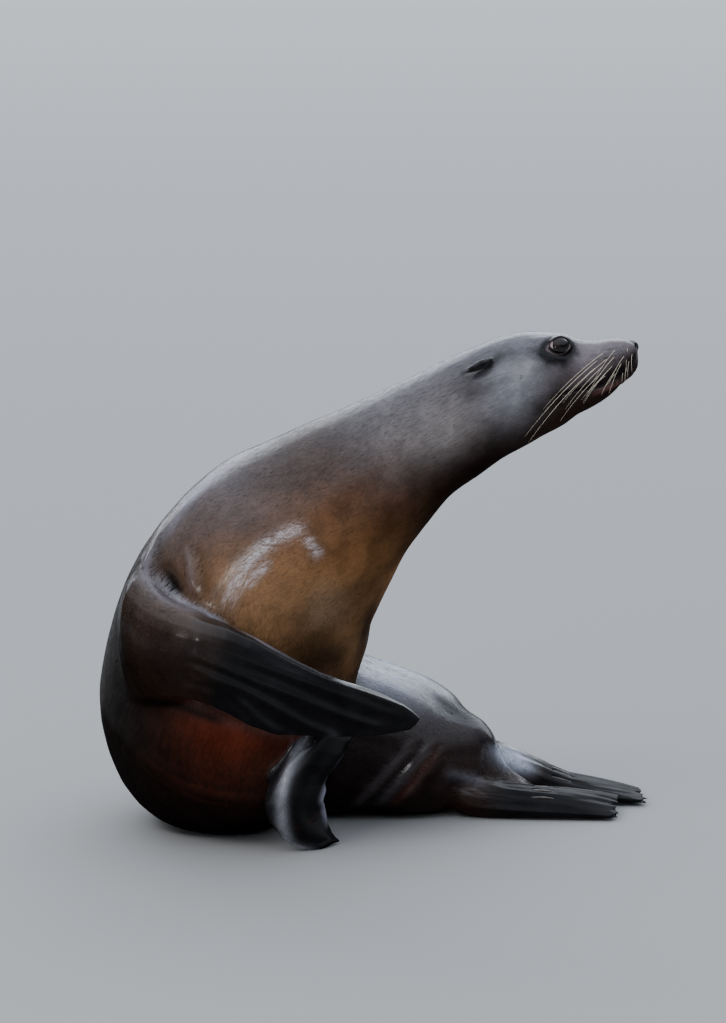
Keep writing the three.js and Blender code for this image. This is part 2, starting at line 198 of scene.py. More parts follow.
class Line:
    """A line through flesh, which gives any point its place along, across and above it."""

    def __init__(self, centres, ups):
        both = curve_through(np.hstack([np.array(centres, float) * MM, ups]), LINE_STEPS)
        self.p = both[:, :3]
        self.along = unit(np.gradient(self.p, axis=0))
        up = both[:, 3:]
        self.up = unit(up - self.along * (up * self.along).sum(1, keepdims=True))
        self.side = np.cross(self.up, self.along)
        self.s = np.concatenate([[0], np.cumsum(np.linalg.norm(np.diff(self.p, axis=0), axis=1))])
        self.tree = kdtree.KDTree(len(self.p))
        for i, q in enumerate(self.p):
            self.tree.insert(q, i)
        self.tree.balance()

    def nearest(self, points):
        return np.array([self.tree.find(q)[1] for q in points])

    def laid_straight(self, points):
        """Distance along the line, to its side and above it, and the nearest step of the line."""
        i = self.nearest(points)
        away = points - self.p[i]
        return np.stack([
            self.s[i] + (away * self.along[i]).sum(1),
            (away * self.side[i]).sum(1),
            (away * self.up[i]).sum(1),
        ], 1), i


BODY = Line([c for c, _ in BODY_LINE.values()], [u for _, u in BODY_LINE.values()])
FINS = {
    name: Line(points, [np.cross(np.gradient(np.array(points, float), axis=0)[i], across)
                        for i in range(len(points))])
    for name, (points, _, across) in FLIPPER_LINES.items()
}


for name, (_, widths, _) in FLIPPER_LINES.items():
    FINS[name].half = np.array(widths) * MM


def place_on_line(name):
    """How far along the body's line a named section is."""
    return BODY.s[list(BODY_LINE).index(name) * LINE_STEPS]


# ---- Meshes ----


def deselect():
    if bpy.context.object and bpy.context.object.mode != "OBJECT":
        bpy.ops.object.mode_set(mode="OBJECT")
    bpy.ops.object.select_all(action="DESELECT")


def activate(obj):
    deselect()
    obj.select_set(True)
    bpy.context.view_layer.objects.active = obj


def apply_modifier(obj, kind, **settings):
    activate(obj)
    modifier = obj.modifiers.new(kind.title(), kind)
    for name, value in settings.items():
        setattr(modifier, name, value)
    bpy.ops.object.modifier_apply(modifier=modifier.name)


def read(obj):
    me = obj.data
    co = np.empty(len(me.vertices) * 3, np.float32)
    me.vertices.foreach_get("co", co)
    normal = np.empty(len(me.vertices) * 3, np.float32)
    me.vertex_normals.foreach_get("vector", normal)
    return co.reshape(-1, 3).astype(float), normal.reshape(-1, 3).astype(float)


def write(obj, co):
    obj.data.vertices.foreach_set("co", co.astype(np.float32).ravel())
    obj.data.update()


# Each kind of value that a vertex carries: its field and how many numbers it has.
KINDS = {"FLOAT": ("value", 1), "FLOAT_VECTOR": ("vector", 3), "FLOAT_COLOR": ("color", 4)}


def give(obj, name, kind, values):
    """Stores a value for each vertex of a mesh."""
    layer = obj.data.attributes.new(name, kind, "POINT")
    layer.data.foreach_set(KINDS[kind][0], np.asarray(values, np.float32).ravel())


def taken(obj, name, kind):
    """The values that a mesh's vertices carry under this name."""
    field, numbers = KINDS[kind]
    values = np.empty(len(obj.data.vertices) * numbers, np.float32)
    obj.data.attributes[name].data.foreach_get(field, values)
    return values.reshape(-1, numbers)


def group_of(obj, name, weights):
    """A vertex group in 32 levels of weight."""
    group = obj.vertex_groups.new(name=name)
    levels = np.round(weights * 32).astype(int)
    for level in range(1, 33):
        found = np.nonzero(levels == level)[0]
        if len(found):
            group.add(found.tolist(), level / 32, "REPLACE")
    return group


TREES = {}


def tree_of(nodes):
    if nodes not in TREES:
        verts, faces = [], []
        for name in nodes:
            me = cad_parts[name].data
            first = len(verts)
            verts += [v.co.copy() for v in me.vertices]
            faces += [[first + i for i in p.vertices] for p in me.polygons]
        TREES[nodes] = BVHTree.FromPolygons(verts, faces)
    return TREES[nodes]


def near_solids(nodes, points, margin):
    """Which points are in the boxes round these solids, grown by a margin."""
    near = np.zeros(len(points), bool)
    for name in nodes:
        low, high = (np.array(c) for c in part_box(name))
        near |= ((points > low - margin) & (points < high + margin)).all(1)
    return near


def distance_to(nodes, points, only=None):
    """How far points are outside these solids: 0 inside them, and 0 where they aren't asked for."""
    tree = tree_of(nodes)
    out = np.zeros(len(points))
    for k in np.arange(len(points)) if only is None else np.nonzero(only)[0]:
        place, normal, _, far = tree.find_nearest(points[k])
        out[k] = far if (Vector(points[k]) - place).dot(normal) > 0 else 0
    return out


def outside_trunk(points):
    """How far points stand out of the trunk, which only those near a limb or an ear can."""
    return distance_to(TRUNK, points, near_solids(FLIPPERS + EARS, points, 0.01))


def copy_of(names, label):
    """One new mesh of copies of these solids, each with its doubles merged."""
    copies = []
    for name in names:
        obj = bpy.data.objects.new(label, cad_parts[name].data.copy())
        bpy.context.scene.collection.objects.link(obj)
        copies.append(obj)
    activate(copies[0])
    for obj in copies:
        obj.select_set(True)
    bpy.ops.object.join()
    joined = bpy.context.object
    joined.name = joined.data.name = label
    joined.data.materials.clear()
    bpy.ops.object.mode_set(mode="EDIT")
    bpy.ops.mesh.select_all(action="SELECT")
    bpy.ops.mesh.remove_doubles(threshold=1e-6)
    bpy.ops.object.mode_set(mode="OBJECT")
    return joined


def select_faces(obj, chosen):
    """Enters edit mode with only these faces selected."""
    activate(obj)
    bpy.ops.object.mode_set(mode="EDIT")
    bpy.ops.mesh.select_mode(type="FACE")
    bpy.ops.mesh.select_all(action="DESELECT")
    bpy.ops.object.mode_set(mode="OBJECT")
    obj.data.polygons.foreach_set("select", chosen)
    bpy.ops.object.mode_set(mode="EDIT")


def face_middles(obj):
    middles = np.empty(len(obj.data.polygons) * 3, np.float32)
    obj.data.polygons.foreach_get("center", middles)
    return middles.reshape(-1, 3).astype(float)


# ---- Skin ----

# Rounds of smoothing: the trunk's own, where limbs grow out of it, the whole skin after that, the
# face's finer grain, the body's folds and the roll over the shoulder.
ROUNDS = {"soft": 100, "root": 110, "firm": 3, "face": 6, "calm": 3, "rim": 16}
ROLL_REACH = 0.018  # half width, in metres, of what is softened along the roll over the shoulder
FACE_END = 0.035  # how far tailward of the eyes the finer grain of the face goes
LID_REACH = 0.024  # how far from an eye's middle the finest grain goes


def eye_centre(side):
    return face_point(EYE_PLACE[0], EYE_PLACE[1], side * EYE_PLACE[2])


def soften(obj, weights, label):
    group_of(obj, label, weights)
    apply_modifier(obj, "SMOOTH", factor=0.5, iterations=ROUNDS[label], vertex_group=label)
    obj.vertex_groups.remove(obj.vertex_groups[label])


def trunk_softness(co):
    """1 on the body and the neck, and far less on the face."""
    laid, _ = BODY.laid_straight(co)
    return 0.04 + 0.96 * smooth_step(laid[:, 0], place_on_line("temples"), place_on_line("mid_neck"))


def root_softness(co):
    """1 where a limb grows out of the trunk, and 0 away from there."""
    near = near_solids(FLIPPERS, co, 0.012)
    limb = np.full(len(co), 1.0)
    limb[near] = distance_to(FLIPPERS, co, near)[near]
    out = outside_trunk(co)
    return (1 - smooth_step(limb, 0.004, 0.016)) * (1 - smooth_step(out, 0.006, 0.030))


def cast(obj, voxel, grow):
    """Melts overlapping or nearly touching shells into one, in steps of this size."""
    co, normal = read(obj)
    write(obj, co + normal * grow)
    obj.data.remesh_voxel_size = voxel
    activate(obj)
    bpy.ops.object.voxel_remesh()
    co, normal = read(obj)
    write(obj, co - normal * grow)


def stroke_weight(co, normal, path, width, sharp=2, facing=None):
    """The vertices near a path of points, and how strongly a stroke along it holds each of them."""
    near = np.nonzero(((co > path.min(0) - 4 * width) & (co < path.max(0) + 4 * width)).all(1))[0]
    if not len(near):
        return near, np.zeros(0)
    curve = curve_through(path, 8)
    p = co[near]
    best = np.full(len(p), 1e9)
    where = np.zeros(len(p))
    lengths = np.linalg.norm(np.diff(curve, axis=0), axis=1)
    s = np.concatenate([[0], np.cumsum(lengths)])
    for k in range(len(curve) - 1):
        a, d = curve[k], curve[k + 1] - curve[k]
        t = np.clip(((p - a) @ d) / max(d @ d, 1e-15), 0, 1)
        far = np.linalg.norm(p - a - t[:, None] * d, axis=1)
        closer = far < best
        best[closer] = far[closer]
        where[closer] = (s[k] + t * lengths[k])[closer]
    ends = np.minimum(where, s[-1] - where)
    weight = np.exp(-((best / width) ** sharp))
    weight *= smooth_step(ends, -0.1 * width, min(0.35 * s[-1], 4 * width))
    if facing is not None:
        weight *= smooth_step(normal[near] @ unit(np.array(facing, float)), 0.0, 0.35)
    return near, weight


def raise_stroke(co, normal, moved, stroke):
    """Adds a ridge or groove along a path of points to the distances by which vertices move."""
    path, width, height, sharp, facing = stroke
    near, weight = stroke_weight(co, normal, np.array(path, float) * MM, width * MM, sharp, facing)
    moved[near] += height * MM * weight


class OnSkin:
    """Finds the outer surface of the skin sideways from a place in the middle of the face."""

    def __init__(self, obj):
        self.tree = BVHTree.FromObject(obj, bpy.context.evaluated_depsgraph_get())

    def face(self, tailward, up, side):
        """Millimetres tailward and up, and the side: the point of the skin there."""
        start = face_point(tailward * MM, up * MM, side * 0.09)
        hit, _, _, _ = self.tree.ray_cast(start, -FACE_RIGHT * side)
        return np.array(hit if hit else face_point(tailward * MM, up * MM, 0)) / MM

    def laid(self, path):
        """A path of millimetres, laid on the skin."""
        return np.array([np.array(self.tree.find_nearest(Vector(p) * MM)[0]) / MM for p in path])

    def flipper(self, name, along, across, face):
        """Shares of a flipper's length and half width, and the face: the point of the skin there."""
        line = FINS[name]
        step = along * (len(line.p) - 1)
        half = np.interp(step / LINE_STEPS, np.arange(len(line.half)), line.half)
        i = int(round(step))
        out = line.up[i] * face
        start = line.p[i] + line.side[i] * across * half + out * 0.03
        hit, _, _, _ = self.tree.ray_cast(Vector(start), Vector(-out), 0.05)
        return np.array(hit if hit else start - out * 0.03) / MM


# Places on the body that are both shaped and painted, with marks and with painted sheen and
# highlights, as paths in millimetres.
SHOULDER_ROLL = (
    (-282, -111, 402), (-292, -125, 374), (-296, -141, 354), (-291, -160, 344), (-271, -190, 331),
    (-235, -208, 320), (-197, -221, 309), (-161, -234, 297),
)
POCKET_FOLD = ((-247, -163, 404), (-241, -174, 382), (-237, -184, 357), (-236, -190, 336))
FLANK_FOLDS = (
    ((96, 3, 106), (70, -11, 72), (48, -12, 40), (22, -4, 15)),
    ((88, 0, 108), (57, -14, 68), (30, -11, 34), (10, -4, 15)),
    ((78, -4, 112), (42, -16, 68), (10, -10, 32), (-12, -4, 15)),
    ((66, -8, 114), (29, -17, 70), (-4, -11, 33), (-26, -4, 15)),
    ((53, -11, 115), (16, -18, 72), (-17, -12, 34), (-38, -4, 15)),
)
ANKLE_SKIN = ((84, -7, 67), (104, 6, 59), (127, 22, 50), (151, 21, 43), (171, 21, 39))

# Strokes on the body: path in millimetres, half width, height (a groove is less than 0), sharpness
# (2 is round, 1 is a crease) and the way the surface faces there.
SIDEWAYS = (-0.2, -0.9, 0.3)
BODY_STROKES = [
    # the roll of skin over the shoulder, the pocket inside it and the folds beside the pocket
    (SHOULDER_ROLL, 12, 6.0, 2, (-0.5, -0.7, 0.3)),
    (((-276, -148, 376), (-268, -160, 360), (-258, -174, 347), (-246, -184, 336)),
     9, -5.0, 2, SIDEWAYS),
    (POCKET_FOLD, 7, 3.0, 2, SIDEWAYS),
    (((-230, -168, 404), (-225, -178, 380), (-222, -188, 357), (-221, -193, 338)),
     6, -1.2, 2, SIDEWAYS),
    # where the upper arm runs into the side
    (((-318, -180, 300), (-311, -191, 250), (-305, -181, 215)), 11, -2.0, 2, SIDEWAYS),
    (((-297, -205, 300), (-290, -212, 254), (-283, -202, 219)), 12, 2.0, 2, SIDEWAYS),
    # long soft folds up the neck
    (((-162, -167, 460), (-98, -157, 508), (-34, -149, 545), (30, -148, 580), (81, -148, 610)),
     22, 1.6, 2, None),
    (((-146, -191, 428), (-79, -183, 478), (-9, -170, 528), (55, -167, 566)), 18, -1.4, 2, None),
    # folds of the flank behind the far flipper
    (FLANK_FOLDS[0], 8, 1.8, 2, None),
    (FLANK_FOLDS[1], 5.5, -2.0, 1.7, None),
    (FLANK_FOLDS[2], 7, 2.1, 2, None),
    (FLANK_FOLDS[3], 5.5, -3.0, 1.7, None),
    (FLANK_FOLDS[4], 8, 2.2, 2, None),
    # the crease between thigh and rump, and the stretched skin of the ankle
    (((150, 51, 97), (147, 43, 93), (146, 33, 75), (147, 31, 61), (150, 34, 50)), 8, -2.5, 1.8, None),
    (ANKLE_SKIN, 7, 2.2, 2, None),
    (((91, -2, 54), (111, 12, 44), (135, 11, 39), (162, 14, 35)), 6, -2.0, 1.8, None),
]

# Digits and rims on both faces of each flipper: flipper, path as shares of its length and of its
# half width, half width of the stroke, height and which faces it is on.
FORE_DIGITS = (
    ((0.40, -0.60), (0.60, -0.58), (0.80, -0.50), (0.96, -0.20)),
    ((0.40, -0.28), (0.60, -0.18), (0.78, 0.05), (0.90, 0.40)),
    ((0.40, 0.00), (0.56, 0.22), (0.70, 0.52), (0.79, 0.80)),
    ((0.40, 0.25), (0.52, 0.48), (0.62, 0.72), (0.68, 0.90)),
    ((0.38, 0.52), (0.46, 0.70), (0.53, 0.88)),
)
FORE_HEIGHTS = (2.0, 3.2, 3.6, 3.4, 2.4)
HIND_DIGITS = [
    ((0.55, across * 0.8), (0.68, across * 0.88), (0.82, across * 0.95), (0.99, across))
    for across in (-0.78, -0.4, 0, 0.4, 0.78)
]
BOTH = (1, -1)
FLIPPER_STROKES = [
    *(("foreflipper_right", path, 6.5, height, BOTH)
      for path, height in zip(FORE_DIGITS, FORE_HEIGHTS)),
    ("foreflipper_right", ((0.05, -0.90), (0.3, -0.90), (0.6, -0.90), (0.9, -0.80)), 5, 2.0, BOTH),
    *(("foreflipper_left", path, 4.5, 2.2, (-1,)) for path in FORE_DIGITS),
    ("foreflipper_left", ((0.15, -0.70), (0.45, -0.72), (0.72, -0.66), (0.92, -0.40)), 8, 5.0, (1,)),
    ("foreflipper_left", ((0.15, 0.84), (0.5, 0.86), (0.72, 0.84), (0.92, 0.70)), 5, 4.0, (1,)),
    ("foreflipper_left", ((0.10, 0.10), (0.4, 0.12), (0.65, 0.14), (0.90, 0.18)), 17, -5, (1,)),
    *((name, path, 5, 1.1, BOTH) for name in ("hindflipper_left", "hindflipper_right")
      for path in HIND_DIGITS),
]

# Strokes on each half of the face: path as tailward and up, half width, height and sharpness.
LIPS = (
    (-99, -11), (-93, -15), (-86.4, -17), (-72.9, -19.6), (-63, -19.9), (-48.1, -24.8),
    (-41.7, -26.3), (-30.5, -25.3), (-16.5, -24.2), (-3.4, -24.8), (7.5, -25.4),
)
FACE_STROKES = [
    (LIPS, 1.5, -4.0, 1.4),
    (((-92, -9), (-80, -12), (-62, -13), (-48, -18), (-30, -19), (-14, -19)), 5, 1.8, 2),
    (((-80, -22.5), (-66, -25), (-53, -28.5), (-40, -31)), 4, 1.8, 2),
    (((10, -24), (16, -26), (21, -31)), 3, -0.9, 1.6),
    (((-88, 14), (-70, 14), (-54, 12), (-40, 4)), 11, 1.6, 2),
    (((114, 16), (100, 19), (86, 24)), 3, -1.6, 1.6),
]


def almond(p, q):
    """1 at the edge of the opening between the lids: millimetres tailward of and above its middle."""
    p = p + 1.5
    wide = np.where(p > 0, 15.0, 12.4)
    high = np.where(q > 0, 9.6, 9.2)
    pointed = np.where(p > 0, 1.55, 2.1)
    return ((np.abs(q) / high) ** 1.6 + (np.abs(p) / wide) ** pointed) ** (1 / 1.7)


def shape_eye(co, side):
    """Draws the lids over the eye: a crisp almond opening, a rounded rim and a fold round it."""
    centre = np.array(eye_centre(side))
    look = unit(np.array(FACE_RIGHT * side * 0.92 - TAILWARD * 0.28 + FACE_UP * 0.26))
    across = np.array(TAILWARD)
    across = unit(across - look * (look @ across))
    over = np.cross(look, across) * side
    over = over if over @ np.array(FACE_UP) > 0 else -over
    away = co - centre
    radius = np.linalg.norm(away, axis=1)
    near = (radius < 0.030) & (away @ look > 0)
    p = (away @ across) / MM
    q = (away @ over) / MM
    e = almond(p, q)
    lid = EYE_RADIUS + LID + 0.0009 * np.exp(-(((e - 1.13) / 0.10) ** 2))
    sunk = EYE_RADIUS - 0.0016
    wanted = lid + (sunk - lid) * smooth_step(-e, -1.03, -0.94)
    hold = 1 - smooth_step(e, 1.25, 1.6)
    fold = -0.0009 * np.exp(-(((e - 1.62) / 0.13) ** 2)) + 0.0004 * np.exp(-(((e - 1.95) / 0.2) ** 2))
    new = radius + (np.where(e < 1.06, wanted, np.maximum(radius, wanted)) - radius) * hold + fold
    new = np.where(near, new, radius)
    return centre + away * (new / np.maximum(radius, 1e-9))[:, None]


def nostrils():
    """Strokes for the slits of the nose, each from the middle of its top down and out."""
    out = []
    for side in (1, -1):
        path = [face_point(t * MM, u * MM, side * o * MM) / MM for t, u, o in
                ((-100.5, 22.5, 4.0), (-100.5, 20, 7.0), (-98, 16.5, 10.0), (-93.5, 14, 13.0))]
        out.append((path, 1.7, -4.5, 2, -TAILWARD + FACE_RIGHT * side * 0.4))
    middle = [face_point(t * MM, u * MM, 0) / MM for t, u in
              ((-102, 17), (-102.5, 11), (-101.5, 4), (-100, -4), (-98, -11))]
    out.append((middle, 1.0, -1.4, 1.5, -TAILWARD))
    return out


class SkinSettings(bpy.types.PropertyGroup):
    voxel: bpy.props.FloatProperty(
        name="Grain", description="Size of the steps the skin is first cast in",
        default=0.002, min=0.001, max=0.01, unit="LENGTH")
    coat_depth: bpy.props.FloatProperty(
        name="Coat depth", description="How deep the skin lies under the coat",
        default=0.0005, min=0, max=0.005, unit="LENGTH")
    triangles: bpy.props.IntProperty(
        name="Triangles", description="Number of triangles of the finished skin", default=196000)


class SEALION_OT_skin(bpy.types.Operator):
    """One skin over all the flesh, with its lids, lips, nostrils and folds"""

    bl_idname = "sealion.skin"
    bl_label = "Skin"

    def execute(self, context):
        settings = context.scene.sealion_skin
        flesh = TRUNK + EARS + FLIPPERS + ("nose",)
        skin = self.trunk(settings.voxel)
        self.join_limbs(skin, flesh[len(TRUNK):], settings.voxel)
        self.soften_roots(skin)
        self.refine(skin)
        self.sculpt(skin)
        self.sink(skin, settings.coat_depth)
        share = settings.triangles / sum(len(p.vertices) - 2 for p in skin.data.polygons)
        apply_modifier(skin, "DECIMATE", ratio=share, use_collapse_triangulate=True)
        bpy.ops.object.shade_smooth()
        mark_coat(skin, OnSkin(skin))
        skin.data.materials.append(coat_material())
        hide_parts(*flesh)
        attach(skin, "root")
        return {"FINISHED"}

    @staticmethod
    def trunk(voxel):
        """The body from nose to tail as one soft shell."""
        skin = copy_of(TRUNK, "skin")
        cast(skin, voxel * 1.5, SEAM)
        soft = trunk_softness(read(skin)[0])
        soften(skin, soft, "soft")
        co, normal = read(skin)
        write(skin, co + normal * (REGAIN * soft)[:, None])
        return skin

    @staticmethod
    def join_limbs(skin, names, voxel):
        """Melts the limbs, the ears, the nose and a shell over each eye into the trunk."""
        parts = [copy_of(names, "limbs")]
        for side in (1, -1):
            deselect()
            bpy.ops.mesh.primitive_uv_sphere_add(
                segments=48, ring_count=24, radius=EYE_RADIUS + LID, location=eye_centre(side))
            bpy.ops.object.transform_apply()
            parts.append(bpy.context.object)
        activate(skin)
        for part in parts:
            part.select_set(True)
        bpy.ops.object.join()
        cast(skin, voxel, SEAM)

    @staticmethod
    def soften_roots(skin):
        co, _ = read(skin)
        spots = [1 - smooth_step(np.linalg.norm(co - np.array(middle), axis=1), 0.5 * reach, reach)
                 for middle, reach in SOFT_SPOTS]
        soften(skin, np.maximum(np.max(spots, axis=0), root_softness(co)), "root")
        soften(skin, np.ones(len(co)), "firm")

    def refine(self, skin):
        """Gives the face a finer grain, and the lids one finer still."""
        for part in (self.on_face, self.on_eyes):
            select_faces(skin, part(face_middles(skin)))
            bpy.ops.mesh.subdivide(number_cuts=1)
            bpy.ops.object.mode_set(mode="OBJECT")
        soften(skin, 1 - smooth_step(in_face(read(skin)[0])[:, 0], 0.02, 0.06), "face")

    @staticmethod
    def sink(skin, coat_depth):
        """Lays the skin below its solids by the coat's depth, which is less on limbs and face."""
        co, normal = read(skin)
        depth = coat_depth * (1 - 0.7 * smooth_step(outside_trunk(co), 0.003, 0.02))
        depth *= smooth_step(in_face(co)[:, 0], -0.11, 0.10) * 0.8 + 0.2
        write(skin, co - normal * depth[:, None])

    @staticmethod
    def on_face(middles):
        return in_face(middles)[:, 0] < FACE_END

    @staticmethod
    def on_eyes(middles):
        near = np.zeros(len(middles), bool)
        for side in (1, -1):
            near |= np.linalg.norm(middles - np.array(eye_centre(side)), axis=1) < LID_REACH
        return near

    @staticmethod
    def sculpt(skin):
        co, normal = read(skin)
        moved = np.zeros(len(co))
        surface = OnSkin(skin)
        for path, *rest in BODY_STROKES:
            raise_stroke(co, normal, moved, (surface.laid(path), *rest))
        for name, path, width, height, faces in FLIPPER_STROKES:
            for face in faces:
                points = [surface.flipper(name, along, across, face) for along, across in path]
                middle = FINS[name].up[int(path[1][0] * (len(FINS[name].p) - 1))] * face
                raise_stroke(co, normal, moved, (points, width, height, 2, middle))
        for path, width, height, sharp in FACE_STROKES:
            for side in (1, -1):
                points = [surface.face(t, u, side) for t, u in path]
                outward = FACE_RIGHT * side - TAILWARD * 0.3
                raise_stroke(co, normal, moved, (points, width, height, sharp, outward))
        for stroke in nostrils():
            raise_stroke(co, normal, moved, stroke)
        co = co + normal * moved[:, None]
        for side in (1, -1):
            co = shape_eye(co, side)
        write(skin, co)
        soften(skin, smooth_step(in_face(co)[:, 0], 0.03, 0.08), "calm")
        rim = np.zeros(len(co))
        near, weight = stroke_weight(co, normal, surface.laid(SHOULDER_ROLL) * MM, ROLL_REACH)
        rim[near] = weight
        soften(skin, rim, "rim")


# ---- Markings and painted light ----

BROWN = (0.026, 0.014, 0.010)
# Soft patches of the coat's colour, of painted sheen and of painted shade, alike on both sides: place
# along the body in millimetres, degrees from the back, reach each way, colour and strength.
PATCHES = [
    (470, 150, 110, 50, (0.300, 0.135, 0.050), 0.95),
    (540, 160, 90, 60, (0.220, 0.120, 0.055), 0.75),
    (525, 100, 70, 28, (0.060, 0.034, 0.026), 0.8),
    # painted sheen: the grey of the sky over the coat on the back of the shoulder
    (515, 65, 60, 32, (0.062, 0.060, 0.072), 0.6),
    (360, 120, 90, 40, (0.062, 0.028, 0.016), 0.6),
    # painted sheen: grey along the side of the neck
    (268, 95, 66, 34, (0.210, 0.192, 0.190), 0.8),
    # darker under the throat, and painted shade along the front edge of the chest
    (330, 180, 120, 40, (0.008, 0.004, 0.002), 0.85),
    (560, 180, 120, 16, (0.010, 0.005, 0.003), 0.6),
    (250, 158, 90, 42, (0.006, 0.003, 0.002), 0.85),
    # painted sheen: blue-grey on the top of the head, the top edge of the neck and the forehead
    (200, 20, 100, 50, (0.080, 0.084, 0.105), 0.6),
    (312, 45, 60, 38, (0.120, 0.114, 0.122), 0.7),
    (105, 10, 50, 60, (0.115, 0.122, 0.155), 0.65),
    (165, 88, 42, 36, (0.230, 0.238, 0.265), 0.8),
    # the pale muzzle, whose grey is partly painted sheen
    (55, 60, 45, 55, (0.200, 0.170, 0.190), 0.75),
    (40, 160, 80, 45, (0.018, 0.009, 0.007), 0.85),
    (120, 160, 60, 40, (0.020, 0.010, 0.007), 0.8),
    (728, 156, 28, 27, (0.100, 0.017, 0.007), 0.9),
    # the dark coat of the low back and lower belly, deepened with painted shade
    (700, 70, 110, 45, (0.005, 0.003, 0.002), 0.9),
    (795, 150, 45, 60, (0.003, 0.002, 0.002), 0.9),
    (870, 150, 90, 60, (0.003, 0.002, 0.002), 0.9),
    (745, 105, 90, 26, (0.005, 0.004, 0.003), 0.85),
    (930, 90, 150, 60, (0.004, 0.003, 0.003), 0.85),
    # dark hips with a painted bluish reflection of the sky, and a painted highlight along their top
    (1125, 0, 120, 60, (0.002, 0.004, 0.012), 0.95),
    (1062, 24, 44, 26, (0.32, 0.36, 0.46), 0.85),
    (1120, 112, 110, 46, (0.012, 0.008, 0.008), 0.9),
]
# Markings, painted shade and painted sheen of one side only, as paths on the skin in millimetres: half
# width, colour and strength.
MARKS_AND_PAINTED_LIGHT = [
    # the dark coat of the arm and round it, and painted shade deep in the pocket
    (((-300, -190, 318), (-275, -224, 290), (-240, -240, 275), (-205, -246, 266)),
     30, (0.020, 0.010, 0.008), 0.9),
    (((-290, -200, 290), (-277, -219, 249), (-225, -236, 239)), 28, (0.016, 0.009, 0.007), 0.85),
    (((-272, -154, 369), (-264, -166, 355), (-254, -178, 343), (-243, -186, 334)),
     10, (0.003, 0.002, 0.003), 0.95),
    # painted highlight on the fold beside the pocket, and painted sheen along the roll over the
    # shoulder
    (POCKET_FOLD, 6, (0.13, 0.11, 0.12), 0.35),
    (SHOULDER_ROLL, 8, (0.16, 0.145, 0.175), 0.6),
    # painted shade along the chest's edge, painted sheen in the pale band down the back, and the foot
    # of the chest
    (((-6, -133, 336), (-15, -86, 274), (-32, -102, 231)), 26, (0.024, 0.013, 0.008), 0.85),
    (((-125, -86, 527), (-164, -80, 508), (-222, -100, 468), (-241, -106, 449), (-260, -115, 425),
      (-279, -119, 399), (-292, -120, 379)), 15, (0.170, 0.160, 0.195), 0.6),
    (((-100, -188, 262), (-70, -165, 255), (-40, -110, 245)), 22, (0.020, 0.011, 0.007), 0.8),
    (((-98, -196, 335), (-66, -181, 330), (-60, -170, 300), (-62, -166, 284)),
     30, (0.300, 0.190, 0.110), 0.6),
    # painted shade in the crease under the arm
    (((-318, -145, 200), (-309, -153, 197), (-281, -181, 198), (-255, -196, 197),
      (-215, -207, 185), (-185, -209, 174)), 7, (0.002, 0.001, 0.001), 0.9),
    # the flank's folds, with painted highlights on their ridges, painted sheen on the ankle and a
    # painted highlight on the heel
    (FLANK_FOLDS[1], 7, (0.070, 0.024, 0.018), 0.6),
    (FLANK_FOLDS[2], 7, (0.080, 0.070, 0.074), 0.5),
    (FLANK_FOLDS[4], 8, (0.080, 0.068, 0.070), 0.6),
    (ANKLE_SKIN[:4], 8, (0.080, 0.084, 0.100), 0.6),
    (((146, 60, 92), (158, 56, 81), (179, 96, 65), (200, 97, 56), (227, 102, 45)),
     17, (0.50, 0.55, 0.66), 0.85),
]
# Painted highlights along a flipper's rims and digit ridges: flipper, path as shares of its length and
# half width, face, half width of the rim in millimetres, colour and strength.
FIN_HIGHLIGHTS = [
    ("foreflipper_left", ((0.30, -0.72), (0.5, -0.74), (0.72, -0.68), (0.92, -0.42)), 1,
     7.5, (0.320, 0.320, 0.360), 0.8),
    ("foreflipper_left", ((0.25, 0.86), (0.5, 0.88), (0.72, 0.86), (0.92, 0.72)), 1,
     5, (0.240, 0.240, 0.300), 0.8),
    *(("foreflipper_right", path, 1, 6, (0.115, 0.115, 0.125), 0.65) for path in FORE_DIGITS[1:4]),
    ("foreflipper_right", ((0.05, -0.92), (0.3, -0.92), (0.55, -0.92), (0.8, -0.88)), 1,
     6, (0.200, 0.200, 0.230), 0.7),
]
# Where a painted reflection of the sky in a film of water lies on the coat: paths and half widths in
# millimetres.
FILM_REFLECTION_PATHS = [
    (((-196, -203, 318), (-180, -202, 356), (-162, -200, 388), (-136, -198, 411), (-104, -197, 426),
      (-79, -196, 434)), 9),
    (((-100, -198, 422), (-84, -198, 410), (-70, -195, 385)), 6),
    (((-176, -200, 345), (-150, -200, 372), (-130, -199, 395)), 6),
]
# Where the coat sheens more or less than its tint says: path in millimetres, half width and sheen.
SHEENS = [
    (((58, 68, 162), (85, 75, 147), (112, 67, 128), (131, 36, 108)), 20, 0.22),
    (((-4, 90, 190), (32, 80, 176), (62, 98, 166), (90, 116, 152), (114, 118, 134)), 18, 1.0),
    (((173, 105, 75), (186, 99, 67), (200, 96, 54), (213, 92, 41)), 14, 1.0),
    (((138, 12, 39), (164, 9, 31), (204, 7, 26), (243, 3, 19), (296, 4, 13)), 14, 0.10),
    (((-309, -154, 353), (-307, -136, 358), (-306, -120, 363), (-303, -113, 369)), 8, 0.2),
]
# Dark dots on each cheek: how high, the tailward place of the first and the last in millimetres
# and how many.
FOLLICLE_ROWS = ((20, -60, -86, 7), (15, -52, -88, 9), (10, -46, -90, 10), (5, -42, -90, 10))
FOLLICLE = 1.2  # half width of a dot in millimetres
FIN_BLACK = (0.0075, 0.0072, 0.0080)
REACH = 0.012  # a point of the skin further than this from a limb's solid isn't the limb's
FIN_FADE = (0.0003, 0.005)  # how far out of the trunk bare skin begins and is full
# Where along its line, in metres, the fur gives way to the bare skin of each flipper.
BARE = {
    "foreflipper_right": (0.13, 0.24),
    "foreflipper_left": (0.02, 0.10),
    "hindflipper_left": (0.09, 0.14),
    "hindflipper_right": (0.10, 0.16),
}
NOSE_BLACK = (0.006, 0.006, 0.007)
# The darkest skin sheens least and the palest most: between which tints, how much the darkest does,
# and how much duller the hind flippers are.
SHEEN_TINTS = (0.004, 0.030)
SHEEN_LEAST = 0.50
HIND_DULL = 0.65
